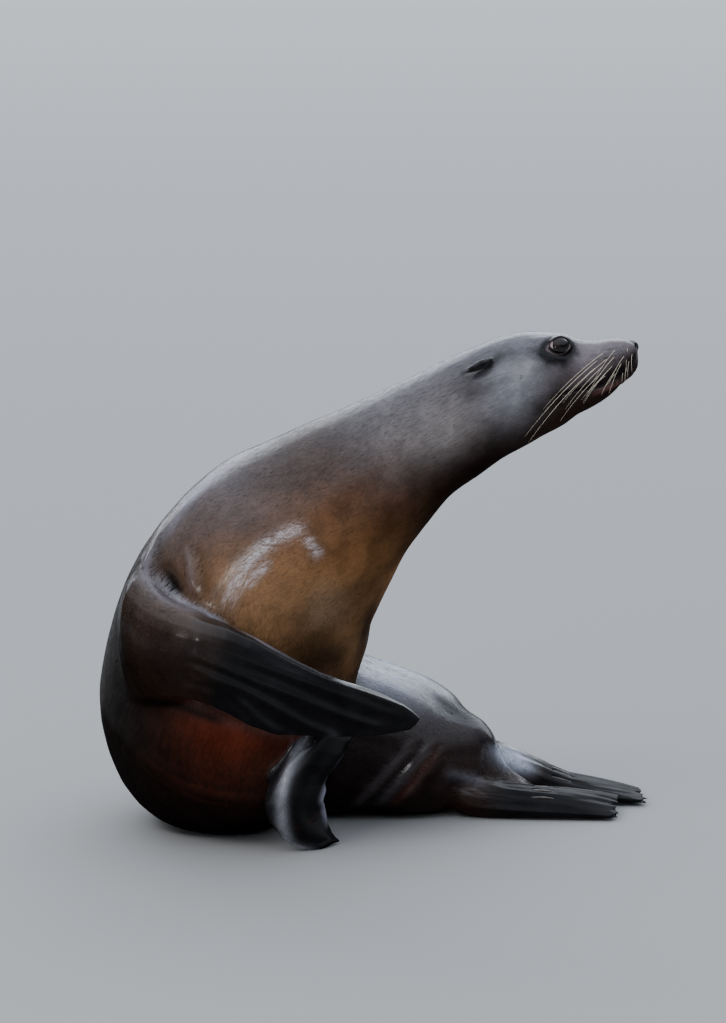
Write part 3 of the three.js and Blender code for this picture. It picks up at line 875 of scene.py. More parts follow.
# Markings on each half of the face, and a painted shadow under the ear: path as tailward and up in
# millimetres with a half width at each point, colour and strength.
FACE_MARKS_AND_SHADOW = [
    (((-94, 5, 4), (-88, -1, 7.5), (-75, -9, 8), (-60, -13, 8), (-45, -18, 7.5), (-28, -21.5, 5.5),
      (-10, -24, 4), (8, -25.5, 3)), (0.004, 0.003, 0.003), 1.0),
    (((-10, -28, 9), (10, -30, 10), (35, -34, 12)), (0.010, 0.006, 0.005), 0.8),
    (((-77, -22, 2.5), (-66, -24.5, 4), (-55, -27.5, 4.5), (-44, -30, 4), (-35, -32, 3)),
     (0.130, 0.062, 0.054), 0.9),
    (((124, 25, 5), (112, 28, 7), (98, 32, 9), (86, 35, 8), (74, 37, 5)), (0.004, 0.003, 0.003), 1.0),
    # painted shadow under the leaf of the ear
    (((118, 18, 4), (104, 22, 5), (90, 27, 5)), (0.004, 0.003, 0.003), 0.9),
    (((30, 36, 5), (14, 21, 8), (-4, 15, 8), (-22, 23, 5)), (0.006, 0.005, 0.006), 0.9),
    (((136, 10, 13), (118, 5, 16), (100, 1, 12)), (0.028, 0.023, 0.025), 0.65),
    (((80, 37, 7), (60, 40, 8), (38, 37, 7)), (0.036, 0.035, 0.043), 0.65),
    (((40, 20, 8), (52, 12, 9), (62, 4, 9)), (0.26, 0.26, 0.27), 0.6),
]
LID_PINK = (0.120, 0.082, 0.084)
LID_DARK = (0.004, 0.003, 0.004)
# Round each eye, from its middle, and on the nose, from the eyes, in millimetres: the middle and the
# reach of what is dark.
EYE_SURROUND = ((2.0, -2.5), (27, 18))
NOSE_PAD = ((-96, 17.5, 0), (12, 11, 15.5))
SHEEN_SLOPES = (-0.25, 0.25)  # how far skin looks up where its sheen begins and where it is full
SHEEN_BELOW = 0.05  # the sheen of what looks down


def mark(tint, near, weight, colour, strength):
    """Draws tints near a stroke towards a colour."""
    tint[near] += (np.array(colour) - tint[near]) * (weight * strength)[:, None]


def coat_tint(co, normal, laid, fin, surface):
    """The coat's colour, with its painted sheen, highlights and shade, at points laid straight along
    the body, on the flippers and on the face.
    """
    angle = np.degrees(np.arctan2(np.abs(laid[:, 1]), laid[:, 2]))
    s = laid[:, 0] / MM
    tint = np.tile(np.array(BROWN), (len(laid), 1))
    for place, degrees, reach, spread, colour, strength in PATCHES:
        w = strength * np.exp(-(((s - place) / reach) ** 2) - ((angle - degrees) / spread) ** 2)
        tint += (np.array(colour) - tint) * w[:, None]
    for path, width, colour, strength in MARKS_AND_PAINTED_LIGHT:
        near, weight = stroke_weight(co, normal, surface.laid(path) * MM, width * MM)
        mark(tint, near, weight, colour, strength)
    tint += (np.array(FIN_BLACK) - tint) * fin[:, None]
    for name, path, side, width, colour, strength in FIN_HIGHLIGHTS:
        points = np.array([surface.flipper(name, along, across, side) for along, across in path])
        near, weight = stroke_weight(co, normal, points * MM, width * MM)
        mark(tint, near, weight, colour, strength)
    for side in (1, -1):
        mark_cheek(tint, co, surface, side)
        mark_eye(tint, co, side)
    pad = np.linalg.norm((in_face(co) / MM - np.array(NOSE_PAD[0])) / np.array(NOSE_PAD[1]), axis=1)
    mark(tint, np.arange(len(co)), 1 - smooth_step(pad, 0.9, 1.08), NOSE_BLACK, 1)
    return tint


def mark_cheek(tint, co, surface, side):
    """Draws the markings of one half of the face, its painted shadow under the ear, and the dots of
    its whisker pad.
    """
    for rows, colour, strength in FACE_MARKS_AND_SHADOW:
        points = np.array([surface.face(t, u, side) for t, u, _ in rows]) * MM
        for k in range(len(rows) - 1):
            between = np.linspace(points[k], points[k + 1], 3)
            width = (rows[k][2] + rows[k + 1][2]) / 2 * MM
            inside = (co > between.min(0) - 3 * width) & (co < between.max(0) + 3 * width)
            near = np.nonzero(inside.all(1))[0]
            far = np.min([np.linalg.norm(co[near] - q, axis=1) for q in between], axis=0)
            mark(tint, near, np.exp(-((far / width) ** 2.5)), colour, strength * 0.8)
    for up, first, last, count in FOLLICLE_ROWS:
        for tailward in np.linspace(first, last, count):
            dot = surface.face(tailward, up, side) * MM
            near = np.nonzero((np.abs(co - dot) < 3 * FOLLICLE * MM).all(1))[0]
            far = np.linalg.norm(co[near] - dot, axis=1)
            mark(tint, near, np.exp(-((far / (FOLLICLE * MM)) ** 2)), NOSE_BLACK, 0.8)


def mark_eye(tint, co, side):
    """Draws the dark surround of an eye and the pink rim of its lids."""
    t, u, out = from_eye(in_face(co), side)
    near = np.nonzero((out > 20) & (np.abs(t) < 40) & (np.abs(u) < 30))[0]
    t, u = t[near], u[near]
    (middle_t, middle_u), (reach_t, reach_u) = EYE_SURROUND
    surround = np.hypot((t - middle_t) / reach_t, (u - middle_u) / reach_u)
    mark(tint, near, 1 - smooth_step(surround, 0.80, 1.12), LID_DARK, 0.97)
    mark(tint, near, np.exp(-(((almond(t, u) - 1.07) / 0.07) ** 2)), LID_PINK, 0.85)


# What the coat's material reads from each vertex, and what the locks are laid by besides.
READ_BY_COAT = {
    "lie": "FLOAT_VECTOR", "fin_lie": "FLOAT_VECTOR", "fin": "FLOAT", "film_reflection": "FLOAT", "wet": "FLOAT",
    "tint": "FLOAT_COLOR",
}
READ_BY_LOCKS = {"which": "FLOAT", "tailward": "FLOAT_VECTOR"}


def mark_coat(obj, surface):
    """Gives each vertex its place along the lie of the coat, its tint and what kind of skin it is."""
    co, normal = read(obj)
    laid, step = BODY.laid_straight(co)
    trunk = outside_trunk(co)
    fin = np.zeros(len(co))
    fin_lie = laid.copy()
    tailward = BODY.along[step]
    which = np.zeros(len(co))
    nearest = np.full(len(co), REACH)
    for k, (name, line) in enumerate(FINS.items()):
        near = near_solids((name,), co, REACH)
        far = distance_to((name,), co, near)
        mine = near & (far < nearest) & (trunk > FIN_FADE[0])
        nearest[mine] = far[mine]
        if mine.any():
            fin_lie[mine], at = line.laid_straight(co[mine])
            tailward[mine] = line.along[at]
            which[mine] = k + 1
            bare = smooth_step(fin_lie[mine][:, 0], *BARE[name])
            fin[mine] = bare * smooth_step(trunk[mine], *FIN_FADE)
    # where the painted reflection of the sky in a film of water lies
    film_reflection = np.zeros(len(co))
    for path, width in FILM_REFLECTION_PATHS:
        near, weight = stroke_weight(co, normal, surface.laid(path) * MM, width * MM)
        film_reflection[near] = np.maximum(film_reflection[near], weight)
    tint = coat_tint(co, normal, laid, fin, surface)
    pale = smooth_step(tint @ np.array((0.3, 0.6, 0.1)), *SHEEN_TINTS)
    wet = SHEEN_BELOW + (1 - SHEEN_BELOW) * smooth_step(normal[:, 2], *SHEEN_SLOPES)
    wet *= SHEEN_LEAST + (1 - SHEEN_LEAST) * pale
    hind = np.isin(which, [k + 1 for k, name in enumerate(FINS) if name.startswith("hind")])
    wet *= 1 - HIND_DULL * hind * fin
    for path, width, sheen in SHEENS:
        near, weight = stroke_weight(co, normal, surface.laid(path) * MM, width * MM)
        wet[near] += (sheen - wet[near]) * weight
    values = {
        "lie": laid, "fin_lie": fin_lie, "fin": fin, "film_reflection": film_reflection, "wet": wet,
        "tint": np.hstack([tint, np.ones((len(tint), 1))]), "tailward": tailward, "which": which,
    }
    for name, kind in {**READ_BY_COAT, **READ_BY_LOCKS}.items():
        give(obj, name, kind, values[name])


# ---- Materials ----


class Nodes:
    """Short words for making and joining a material's nodes."""

    def __init__(self, name):
        self.material = bpy.data.materials.new(name)
        self.material.use_nodes = True
        self.tree = self.material.node_tree
        self.shader = self.tree.nodes["Principled BSDF"]

    def node(self, kind, **settings):
        n = self.tree.nodes.new("ShaderNode" + kind)
        for name, value in settings.items():
            setattr(n, name, value)
        return n

    def join(self, a, b):
        self.tree.links.new(a, b)

    def put(self, socket, value):
        if hasattr(value, "default_value") or isinstance(value, bpy.types.NodeSocket):
            self.join(value, socket)
        else:
            socket.default_value = value

    def attribute(self, name):
        return self.node("Attribute", attribute_name=name)

    def maths(self, operation, *values, clamp=False):
        n = self.node("Math", operation=operation, use_clamp=clamp)
        for socket, value in zip(n.inputs, values):
            self.put(socket, value)
        return n.outputs[0]

    def blend(self, kind, factor, a, b):
        n = self.node("Mix", data_type="RGBA", blend_type=kind)
        self.put(n.inputs[0], factor)
        self.put(n.inputs[6], a if not isinstance(a, tuple) else (*a, 1))
        self.put(n.inputs[7], b if not isinstance(b, tuple) else (*b, 1))
        return n.outputs[2]

    def stretched(self, vector, scale):
        n = self.node("Mapping")
        self.join(vector, n.inputs["Vector"])
        n.inputs["Scale"].default_value = scale
        return n.outputs[0]

    def noise(self, vector, scale, detail=3.0, roughness=0.5, distortion=0.0):
        n = self.node("TexNoise")
        self.join(vector, n.inputs["Vector"])
        for name, value in (("Scale", scale), ("Detail", detail), ("Roughness", roughness),
                            ("Distortion", distortion)):
            n.inputs[name].default_value = value
        return n.outputs["Fac"]

    def ramp(self, value, low, high, to_low=0.0, to_high=1.0):
        n = self.node("MapRange")
        self.put(n.inputs[0], value)
        for k, number in zip((1, 2, 3, 4), (low, high, to_low, to_high)):
            self.put(n.inputs[k], number)
        return n.outputs[0]

    def bump(self, height, distance, strength=1.0, under=None):
        n = self.node("Bump")
        n.inputs["Strength"].default_value = strength
        n.inputs["Distance"].default_value = distance
        self.join(height, n.inputs["Height"])
        if under:
            self.join(under, n.inputs["Normal"])
        return n.outputs[0]

    def set(self, **values):
        for name, value in values.items():
            self.put(self.shader.inputs[name.replace("_", " ")], value)


FILM_REFLECTION_GREY = (0.50, 0.46, 0.47)  # the sky in the film of water
HAIR_RELIEF = 0.00045  # how deep the bump of the hairs is, in metres


def coat_material():
    """Wet fur lying along the body, turning into bare wet skin on the flippers."""
    if "wet_coat" in bpy.data.materials:
        return bpy.data.materials["wet_coat"]
    m = Nodes("wet_coat")
    lie = m.attribute("lie").outputs["Vector"]
    fin_lie = m.attribute("fin_lie").outputs["Vector"]
    fin = m.attribute("fin").outputs["Fac"]
    film_reflection = m.attribute("film_reflection").outputs["Fac"]
    tint = m.attribute("tint").outputs["Color"]
    place = m.node("TexCoord").outputs["Object"]
    streak = m.noise(m.stretched(lie, (60, 900, 900)), 1.0, 4, 0.6)
    lock = m.noise(m.stretched(lie, (18, 150, 150)), 1.0, 3, 0.55, 0.4)
    cloud = m.noise(place, 9.0, 4, 0.6)
    blotch = m.noise(place, 38.0, 3, 0.6)
    fleck = m.noise(place, 150.0, 1, 0.4)
    wrinkle = m.noise(m.stretched(fin_lie, (22, 120, 120)), 1.0, 5, 0.62, 0.5)
    pore = m.noise(place, 700.0, 2, 0.5)
    hairs = m.ramp(streak, 0.25, 0.75, 0.66, 1.34)
    shade = m.maths("MULTIPLY", hairs, m.ramp(cloud, 0.3, 0.7, 0.72, 1.28))
    shade = m.maths("MULTIPLY", shade, m.ramp(blotch, 0.35, 0.65, 0.80, 1.20))
    shade = m.maths("MULTIPLY", shade, m.ramp(fleck, 0.70, 0.76, 1.0, 0.75))
    colour = m.blend("MULTIPLY", 1.0, tint, shade)
    # the film's painted reflection of the sky, broken along the hairs, mixed into the base colour
    broken = m.maths("MULTIPLY", m.ramp(streak, 0.38, 0.62), m.ramp(lock, 0.30, 0.62))
    wet = m.maths("MULTIPLY", film_reflection, m.ramp(broken, 0.05, 0.6, 0.12, 1.0), clamp=True)
    m.set(Base_Color=m.blend("MIX", wet, colour, FILM_REFLECTION_GREY))
    coat_rough = m.ramp(lock, 0.3, 0.7, 0.30, 0.48)
    fin_rough = m.ramp(wrinkle, 0.3, 0.7, 0.20, 0.36)
    m.set(Roughness=m.ramp(fin, 0, 1, coat_rough, fin_rough))
    fur_height = m.maths("ADD", m.maths("MULTIPLY", streak, 0.45), m.maths("MULTIPLY", lock, 0.9))
    skin_height = m.maths("ADD", m.maths("MULTIPLY", wrinkle, 0.8), m.maths("MULTIPLY", pore, 0.05))
    height = m.ramp(fin, 0, 1, fur_height, skin_height)
    m.set(Normal=m.bump(height, HAIR_RELIEF, 0.75))
    hair_sheen = m.ramp(streak, 0.36, 0.60, 0.55, 1.0)
    hair_sheen = m.maths("MULTIPLY", hair_sheen, m.ramp(lock, 0.3, 0.6, 0.8, 1.0))
    sheen = m.ramp(fin, 0, 1, hair_sheen, 1.0)
    sheen = m.maths("MULTIPLY", m.attribute("wet").outputs["Fac"], sheen)
    m.set(Coat_Weight=sheen, Coat_Roughness=0.22, Specular_IOR_Level=0.0)
    return m.material


# ---- Eyes ----

EYE_BULGE = 0.055  # how far the front of the eye stands out, as a share of its radius
EYE_RINGS = 60  # degrees from the middle of the eye at which its rings are counted as 1


def eye_material():
    m = Nodes("wet_eye")
    ring = m.attribute("ring").outputs["Fac"]
    place = m.node("TexCoord").outputs["Object"]
    grain = m.noise(place, 600, 3)
    iris = m.blend("MIX", m.ramp(ring, 0.34, 0.40), (0.001, 0.001, 0.001), (0.013, 0.008, 0.007))
    rim = m.blend("MIX", m.ramp(ring, 0.80, 0.88), iris, (0.002, 0.001, 0.001))
    white = m.blend("MIX", m.ramp(ring, 0.93, 1.0), rim, (0.40, 0.30, 0.29))
    m.set(Base_Color=m.blend("MULTIPLY", 0.5, white, m.ramp(grain, 0.3, 0.7, 0.6, 1.3)))
    m.set(Roughness=0.04, IOR=1.38)
    return m.material


class SEALION_OT_eyes(bpy.types.Operator):
    """The two eyes, each with a glossy bulge over its iris"""

    bl_idname = "sealion.eyes"
    bl_label = "Eyes"

    def execute(self, context):
        for side, name in ((1, "eye_right"), (-1, "eye_left")):
            centre = eye_centre(side)
            look = (FACE_RIGHT * side * 0.81 - TAILWARD * 0.50 + FACE_UP * 0.16).normalized()
            deselect()
            bpy.ops.mesh.primitive_uv_sphere_add(
                segments=64, ring_count=48, radius=EYE_RADIUS,
                rotation=look.to_track_quat("Z", "Y").to_euler())
            bpy.ops.object.transform_apply()
            eye = bpy.context.object
            eye.name = eye.data.name = name + "_ball"
            co, _ = read(eye)
            turn = np.degrees(np.arccos(np.clip(unit(co) @ np.array(look), -1, 1)))
            bulge = 1 + EYE_BULGE * (1 - smooth_step(turn, 8, 38))
            write(eye, co * bulge[:, None] + np.array(centre))
            give(eye, "ring", "FLOAT", turn / EYE_RINGS)
            bpy.ops.object.shade_smooth()
            eye.data.materials.append(eye_material())
            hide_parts(name)
            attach(eye, "root")
        return {"FINISHED"}


# ---- Claws ----


def claw_material():
    m = Nodes("horn")
    place = m.node("TexCoord").outputs["Object"]
    grain = m.noise(m.stretched(place, (60, 500, 500)), 1.0, 3)
    m.set(Base_Color=m.blend("MIX", grain, (0.014, 0.010, 0.008), (0.050, 0.038, 0.030)))
    m.set(Roughness=0.3, Normal=m.bump(grain, 0.0003))
    return m.material


class SEALION_OT_claws(bpy.types.Operator):
    """The claws of the hind flippers"""

    bl_idname = "sealion.claws"
    bl_label = "Claws"

    def execute(self, context):
        horn = claw_material()
        for side in ("left", "right"):
            for i in (1, 2, 3):
                name = f"claw_{side}_{i}"
                claw = copy_of((name,), name + "_horn")
                apply_modifier(claw, "SUBSURF", levels=2, render_levels=2)
                bpy.ops.object.shade_smooth()
                claw.data.materials.append(horn)
                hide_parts(name)
                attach(claw, "root")
        return {"FINISHED"}


# ---- Whiskers ----

# Rows on each cheek: how high, the tailward place of the first and the last, how many, and the
# lengths of those two, all in millimetres.
WHISKER_ROWS = [
    (15.0, -54, -86, 3, 104, 34),
    (7.5, -46, -90, 5, 134, 26),
    (-0.8, -40, -86, 5, 128, 24),
    (-7.5, -47, -80, 4, 92, 22),
    (-12.5, -52, -76, 3, 48, 18),
]
WHISKER_RADIUS = (0.00038, 0.00008)  # at the root of a long whisker and at the tip, in metres
WHISKER_LONG = 0.13  # length of a whisker with the full radius
WHISKER_DEPTH = 0.003  # how deep its root is set
WHISKER_SEED = 7
WHISKER_STEPS = 18
WHISKER_SIDES = 5


def tube(points, radii, sides):
    """A closed tapering tube along points: its vertices and faces."""
    points = np.array(points)
    along = unit(np.gradient(points, axis=0))
    a = unit(np.cross(along, (0.31, 0.17, 0.93)))
    b = np.cross(along, a)
    turn = np.arange(sides) * 2 * math.pi / sides
    rings = points[:, None] + radii[:, None, None] * (
        a[:, None] * np.cos(turn)[None, :, None] + b[:, None] * np.sin(turn)[None, :, None])
    faces = [tuple(reversed(range(sides)))]
    for k in range(len(points) - 1):
        for j in range(sides):
            n = (j + 1) % sides
            faces.append((k * sides + j, k * sides + n, (k + 1) * sides + n, (k + 1) * sides + j))
    last = (len(points) - 1) * sides
    faces.append(tuple(range(last, last + sides)))
    return rings.reshape(-1, 3), faces


def new_object(name, verts, faces):
    me = bpy.data.meshes.new(name)
    me.from_pydata([tuple(v) for v in verts], [], faces)
    obj = bpy.data.objects.new(name, me)
    bpy.context.scene.collection.objects.link(obj)
    activate(obj)
    bpy.ops.object.shade_smooth()
    return obj


def whisker_material():
    m = Nodes("whisker")
    place = m.node("TexCoord").outputs["Object"]
    m.set(Base_Color=m.blend("MIX", m.noise(place, 60, 2), (0.58, 0.50, 0.36), (0.82, 0.76, 0.62)))
    m.set(Roughness=0.35)
    return m.material


class SEALION_OT_whiskers(bpy.types.Operator):
    """The whiskers of both cheeks"""

    bl_idname = "sealion.whiskers"
    bl_label = "Whiskers"

    def execute(self, context):
        rng = np.random.default_rng(WHISKER_SEED)
        surface = OnSkin(bpy.data.objects["skin"])
        verts, faces = [], []
        for side in (1, -1):
            for row in WHISKER_ROWS:
                for k in range(row[3]):
                    more, loops = self.whisker(surface, side, row, k, rng)
                    start_at = sum(len(v) for v in verts)
                    verts.append(more)
                    faces += [tuple(i + start_at for i in f) for f in loops]
        obj = new_object("whiskers", np.vstack(verts), faces)
        obj.data.materials.append(whisker_material())
        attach(obj, "root")
        return {"FINISHED"}

    def whisker(self, surface, side, row, k, rng):
        """The tube of one whisker of a row."""
        up, first, last, count, long, short = row
        share = k / (count - 1)
        tailward = first + (last - first) * share + rng.uniform(-1.2, 1.2)
        length = (long + (short - long) * share**0.75) * rng.uniform(0.85, 1.1) * MM
        root = surface.face(tailward, up + rng.uniform(-1.5, 1.5), side) * MM
        start, end = self.ways(share, side, rng)
        t = np.linspace(0, 1, WHISKER_STEPS)[:, None]
        points = root - start * WHISKER_DEPTH + length * (start * t + (end - start) * t**2 * 0.5)
        thick, tip = WHISKER_RADIUS
        thick *= 0.7 + 0.3 * length / WHISKER_LONG
        return tube(points, thick + (tip - thick) * t[:, 0] ** 1.2, WHISKER_SIDES)

    @staticmethod
    def ways(share, side, rng):
        """The way a whisker leaves the cheek and the way its tip points: the front ones hang more."""
        fall = math.radians(33 + 12 * share + 30 * share**4 + rng.uniform(-4, 4))
        out = 0.30 + rng.uniform(-0.06, 0.06)

        def way(down, outward):
            along = TAILWARD * math.cos(down) - FACE_UP * math.sin(down)
            return np.array((along + FACE_RIGHT * side * outward).normalized())

        return way(fall - 0.10, out + 0.2), way(fall + 0.14, out - 0.3)


# ---- Coat ----


class CoatSettings(bpy.types.PropertyGroup):
    pieces: bpy.props.IntProperty(
        name="Pieces", description="How many meshes the locks are shared among",
        default=4, min=1, max=8)
    locks: bpy.props.IntProperty(
        name="Locks", description="Locks in each piece", default=15000, min=100, max=19000)
    length: bpy.props.FloatProperty(
        name="Length", description="Length of a lock on the body", default=0.011, unit="LENGTH")
    width: bpy.props.FloatProperty(
        name="Width", description="Width of a lock on the body", default=0.0009, unit="LENGTH")
    lift: bpy.props.FloatProperty(
        name="Lift", description="How far a lock stands off the skin", default=0.00009, unit="LENGTH")


COAT_SEED = 11
LOCK_DEPTH = 0.00006  # how deep the underside of a lock lies in the skin
# The corners of a lock on its patch of the unwrap, and how wide a patch is.
LOCK_PATCH = ((-0.5, 0), (0.5, 0), (0, 0.1), (-0.5, 0.5), (0.5, 0.5), (0, 0.6), (0, 1))
PATCH_SIZE = 0.003


def unwrap(laid, fin_lie, which):
    """A flat place for points of the skin: the body's strip, and one above it for each flipper."""
    turn = np.arctan2(laid[:, 1], laid[:, 2]) / (2 * math.pi) + 0.5
    body = np.stack([0.02 + 0.96 * laid[:, 0] / BODY.s[-1], 0.02 + 0.55 * turn], 1)
    back = (fin_lie[:, 2] < 0) * 1.0
    strip = 0.60 + 0.095 * (which - 1) + 0.045 * back
    limb = np.stack([0.02 + 2.0 * np.clip(fin_lie[:, 0], 0, 0.48),
                     strip + 0.02 + 0.18 * np.clip(fin_lie[:, 1], -0.1, 0.1)], 1)
    return np.where((which > 0)[:, None], limb, body)


class SEALION_OT_coat(bpy.types.Operator):
    """Small wet locks of short fur, lying over the skin in a few joined meshes"""

    bl_idname = "sealion.coat"
    bl_label = "Coat"

    def execute(self, context):
        settings = context.scene.sealion_coat
        skin = bpy.data.objects["skin"]
        rng = np.random.default_rng(COAT_SEED)
        roots = self.roots(skin, settings.pieces * settings.locks, rng)
        tree = OnSkin(skin).tree
        size = roots["size"]
        length = settings.length * size * rng.uniform(0.75, 1.25, len(size))
        width = settings.width * (0.45 + 0.55 * size) * rng.uniform(0.7, 1.3, len(size))
        lift = settings.lift * size**1.5 * rng.uniform(0.5, 1.3, len(size))
        normal, way = roots["normal"], roots["way"]
        middle, up_middle = self.settle(tree, roots["co"] + way * length[:, None] * 0.5)
        tip, up_tip = self.settle(tree, roots["co"] + way * length[:, None])
        rows = []
        for place, up, half, high in (
            (roots["co"], normal, 0.30 * width, 0.0), (middle, up_middle, 0.50 * width, 1.0)):
            side = unit(np.cross(up, way))
            floor = place - up * LOCK_DEPTH
            rows += [floor + side * half[:, None], floor - side * half[:, None],
                     floor + up * (LOCK_DEPTH + lift * high)[:, None]]
        rows.append(tip + up_tip * (lift * 0.2)[:, None])
        corners = np.stack(rows, 1)
        for k in range(settings.pieces):
            part = slice(k * settings.locks, (k + 1) * settings.locks)
            self.piece(f"coat_{k + 1}", corners[part], {n: v[part] for n, v in roots.items()})
        return {"FINISHED"}

    @staticmethod
    def roots(skin, count, rng):
        """Where locks grow: more and smaller towards face and flippers, none on bare skin."""
        me = skin.data
        me.calc_loop_triangles()
        corners = np.empty(len(me.loop_triangles) * 3, np.int32)
        me.loop_triangles.foreach_get("vertices", corners)
        corners = corners.reshape(-1, 3)
        co, normal = read(skin)
        kinds = {**READ_BY_COAT, **READ_BY_LOCKS}
        facts = {name: taken(skin, name, kind) for name, kind in kinds.items()}
        face = in_face(co) / MM
        size = 0.34 + 0.66 * smooth_step(face[:, 0], -60, 160)
        size *= 1 - 0.45 * smooth_step(facts["fin"][:, 0], 0.0, 0.5)
        keep = 1 - smooth_step(facts["fin"][:, 0], 0.25, 0.7)
        for side in (1, -1):
            t, u, out = from_eye(in_face(co), side)
            keep[(out > 20) & (almond(t, u) < 1.45) & (np.abs(t) < 30)] = 0
        keep[(face[:, 0] < -84) & (face[:, 1] > 4)] = 0
        keep[(face[:, 0] < 12) & (face[:, 1] < -9) & (face[:, 1] > -32)] *= 0.25
        keep[co[:, 2] < 0.004] = 0
        a, b, c = (co[corners[:, k]] for k in range(3))
        area = np.linalg.norm(np.cross(b - a, c - a), axis=1)
        chance = area * keep[corners].mean(1) / size[corners].mean(1) ** 1.6
        chosen = rng.choice(len(corners), count, p=chance / chance.sum())
        share = rng.dirichlet((1, 1, 1), count)
        mix = lambda values: (values[corners[chosen]] * share[:, :, None]).sum(1)
        out = {name: mix(values) for name, values in facts.items()}
        out["which"] = facts["which"][corners[chosen][:, 0]]
        out["co"] = mix(co)
        out["normal"] = unit(mix(normal))
        out["size"] = mix(size[:, None])[:, 0]
        way = out["tailward"] + rng.normal(0, 0.16, (count, 3))
        out["way"] = unit(way - out["normal"] * (way * out["normal"]).sum(1, keepdims=True))
        return out

    @staticmethod
    def settle(tree, points):
        """The nearest points of the skin and the way it faces there."""
        place, up = np.empty_like(points), np.empty_like(points)
        for k, q in enumerate(points):
            place[k], up[k] = tree.find_nearest(q)[:2]
        return place, up

    @staticmethod
    def piece(name, corners, roots):
        """One mesh of locks, each with three corners at its root, three at its middle and a tip."""
        count = len(corners)
        first = (np.arange(count) * 7)[:, None]
        quads = np.array([(1, 0, 3, 4), (2, 1, 4, 5), (0, 2, 5, 3)])
        triangles = np.array([(1, 2, 0), (4, 3, 6), (5, 4, 6), (3, 5, 6)])
        loops = np.hstack([(first + quads.ravel()), (first + triangles.ravel())])
        sizes = np.tile([4] * 3 + [3] * 4, count)
        me = bpy.data.meshes.new(name)
        me.vertices.add(count * 7)
        me.vertices.foreach_set("co", corners.astype(np.float32).ravel())
        me.loops.add(loops.size)
        me.loops.foreach_set("vertex_index", loops.astype(np.int32).ravel())
        me.polygons.add(len(sizes))
        starts = np.concatenate([[0], np.cumsum(sizes)[:-1]])
        me.polygons.foreach_set("loop_start", starts.astype(np.int32))
        me.update(calc_edges=True)
        me.validate()
        obj = bpy.data.objects.new(name, me)
        bpy.context.scene.collection.objects.link(obj)
        activate(obj)
        bpy.ops.object.shade_smooth()
        for field, kind in READ_BY_COAT.items():
            give(obj, field, kind, np.repeat(roots[field], 7, axis=0))
        place = unwrap(roots["lie"], roots["fin_lie"], roots["which"][:, 0])
        uv = (place[:, None] + np.array(LOCK_PATCH)[None] * PATCH_SIZE).reshape(-1, 2)
        layer = me.uv_layers.new(name="OFBake")
        layer.data.foreach_set("uv", uv[loops.ravel()].astype(np.float32).ravel())
        me.materials.append(coat_material())
        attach(obj, "root")


# ---- Stage ----


class StageSettings(bpy.types.PropertyGroup):
    floor_colour: bpy.props.FloatVectorProperty(
        name="Floor", description="Colour of the floor", subtype="COLOR",
        default=(0.285, 0.285, 0.28), min=0, max=1)


# Lamps: place, what they look towards, size, power, colour and whether they show in the sheen.
LAMPS = {
    "behind": ((0.44, 17.5, 8.2), (0, 1.0, 0.2), (26.4, 13.4), 3600, (0.84, 0.91, 1.0), True),
    "key": ((-2.4, -2.6, 3.4), (0, 0, 0.35), (2.4, 1.6), 75, (1.0, 0.96, 0.92), False),
    "glint": ((-2.5, -4.3, 1.3), (0.27, -0.15, 0.65), (0.6, 0.7), 22, (1.0, 1.0, 1.0), True),
}
SKY_BLUE = (0.82, 0.88, 1.0)
SKY_FADE = (0.15, 0.80, 0.12, 1.9)  # heights of view between which the sky brightens, from and to
CAMERA_DISTANCE = 7.0
CAMERA_TILT = math.radians(10)
CAMERA_AIM = Vector((-0.01763, -0.06098, 0.4265))
METRES_PER_PIXEL = 0.0013
LONG_SIDE = 1023


def soft_light(name, place, towards, size, power, colour, in_sheen):
    """A square lamp that looks towards a point."""
    data = bpy.data.lights.new(name, "AREA")
    data.shape = "RECTANGLE"
    data.size, data.size_y = size
    data.energy, data.color = power, colour
    lamp = bpy.data.objects.new(name, data)
    bpy.context.scene.collection.objects.link(lamp)
    lamp.location = place
    lamp.rotation_euler = (Vector(towards) - Vector(place)).to_track_quat("-Z", "Y").to_euler()
    lamp.visible_glossy = in_sheen


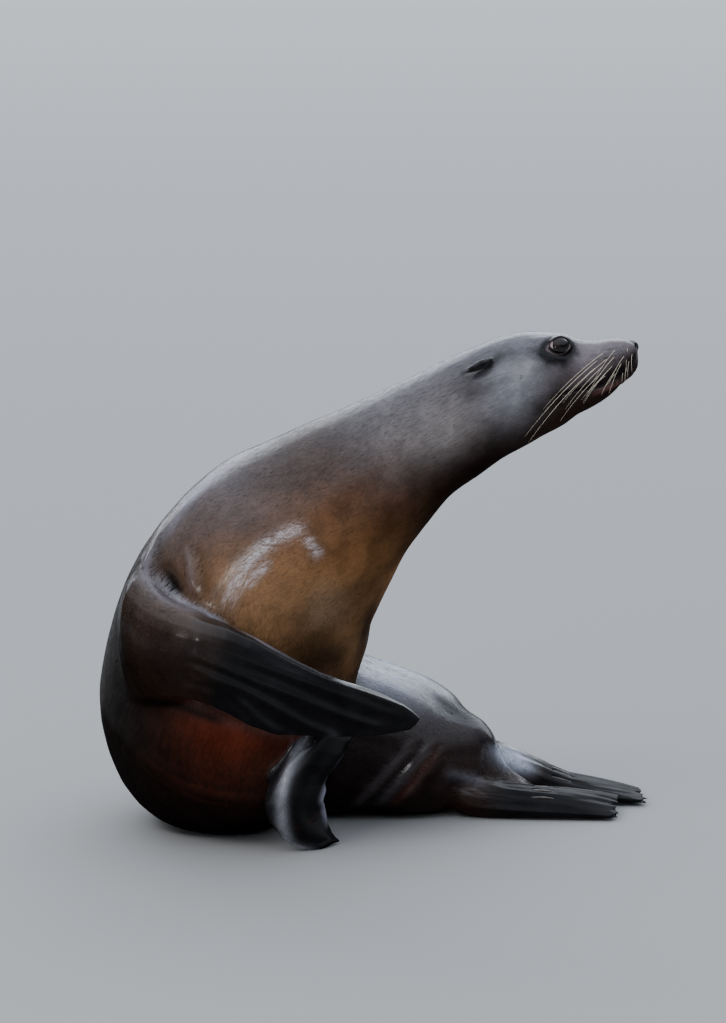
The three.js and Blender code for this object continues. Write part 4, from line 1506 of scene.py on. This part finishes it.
class SEALION_OT_stage(bpy.types.Operator):
    """A plain floor, soft lamps and the camera"""

    bl_idname = "sealion.stage"
    bl_label = "Stage"

    def execute(self, context):
        scene = context.scene
        deselect()
        bpy.ops.mesh.primitive_plane_add(size=120, location=(0, 30, 0))
        bpy.ops.object.transform_apply()
        floor = bpy.context.object
        floor.name = "floor"
        m = Nodes("floor_paint")
        m.set(Base_Color=(*scene.sealion_stage.floor_colour, 1), Roughness=0.9)
        floor.data.materials.append(m.material)
        world = bpy.data.worlds.new("sky") if not scene.world else scene.world
        scene.world = world
        world.use_nodes = True
        self.sky(world.node_tree)
        for name, facts in LAMPS.items():
            soft_light(name, *facts)
        camera = bpy.data.objects.new("camera", bpy.data.cameras.new("camera"))
        scene.collection.objects.link(camera)
        look = Vector((0, math.cos(CAMERA_TILT), -math.sin(CAMERA_TILT)))
        camera.location = CAMERA_AIM - look * CAMERA_DISTANCE
        camera.rotation_euler = look.to_track_quat("-Z", "Y").to_euler()
        camera.data.sensor_width = 36
        camera.data.lens = 36 * CAMERA_DISTANCE / (METRES_PER_PIXEL * LONG_SIDE)
        camera.data.clip_end = 200
        scene.camera = camera
        return {"FINISHED"}

    @staticmethod
    def sky(tree):
        """Light from above that fades towards the horizon."""
        paint = tree.nodes["Background"]
        paint.inputs["Color"].default_value = (*SKY_BLUE, 1)
        way = tree.nodes.new("ShaderNodeTexCoord")
        split = tree.nodes.new("ShaderNodeSeparateXYZ")
        fade = tree.nodes.new("ShaderNodeMapRange")
        fade.interpolation_type = "SMOOTHSTEP"
        for k, number in enumerate(SKY_FADE, 1):
            fade.inputs[k].default_value = number
        tree.links.new(way.outputs["Generated"], split.inputs[0])
        tree.links.new(split.outputs["Z"], fade.inputs[0])
        tree.links.new(fade.outputs[0], paint.inputs["Strength"])


class SEALION_PT_panel(bpy.types.Panel):
    """Buttons and sizes for the sea lion"""

    bl_label = "Sea Lion"
    bl_idname = "SEALION_PT_panel"
    bl_space_type = "VIEW_3D"
    bl_region_type = "UI"
    bl_category = "Sea Lion"

    def draw(self, context):
        for group in PROPERTIES:
            settings = getattr(context.scene, group)
            for name in settings.bl_rna.properties.keys():
                if name not in ("rna_type", "name"):
                    self.layout.prop(settings, name)
        for operator in OPERATORS:
            self.layout.operator(operator.bl_idname)


PROPERTIES = {
    "sealion_skin": SkinSettings, "sealion_coat": CoatSettings, "sealion_stage": StageSettings,
}
OPERATORS = (
    SEALION_OT_skin, SEALION_OT_eyes, SEALION_OT_claws, SEALION_OT_whiskers, SEALION_OT_coat,
    SEALION_OT_stage,
)


def register():
    for cls in (*PROPERTIES.values(), *OPERATORS, SEALION_PT_panel):
        bpy.utils.register_class(cls)
    for name, cls in PROPERTIES.items():
        setattr(bpy.types.Scene, name, bpy.props.PointerProperty(type=cls))


def unregister():
    for name in PROPERTIES:
        delattr(bpy.types.Scene, name)
    for cls in reversed((*PROPERTIES.values(), *OPERATORS, SEALION_PT_panel)):
        bpy.utils.unregister_class(cls)


def main():
    register()
    for operator in OPERATORS:
        group, name = operator.bl_idname.split(".")
        getattr(getattr(bpy.ops, group), name)()


if __name__ == "__main__":
    main()
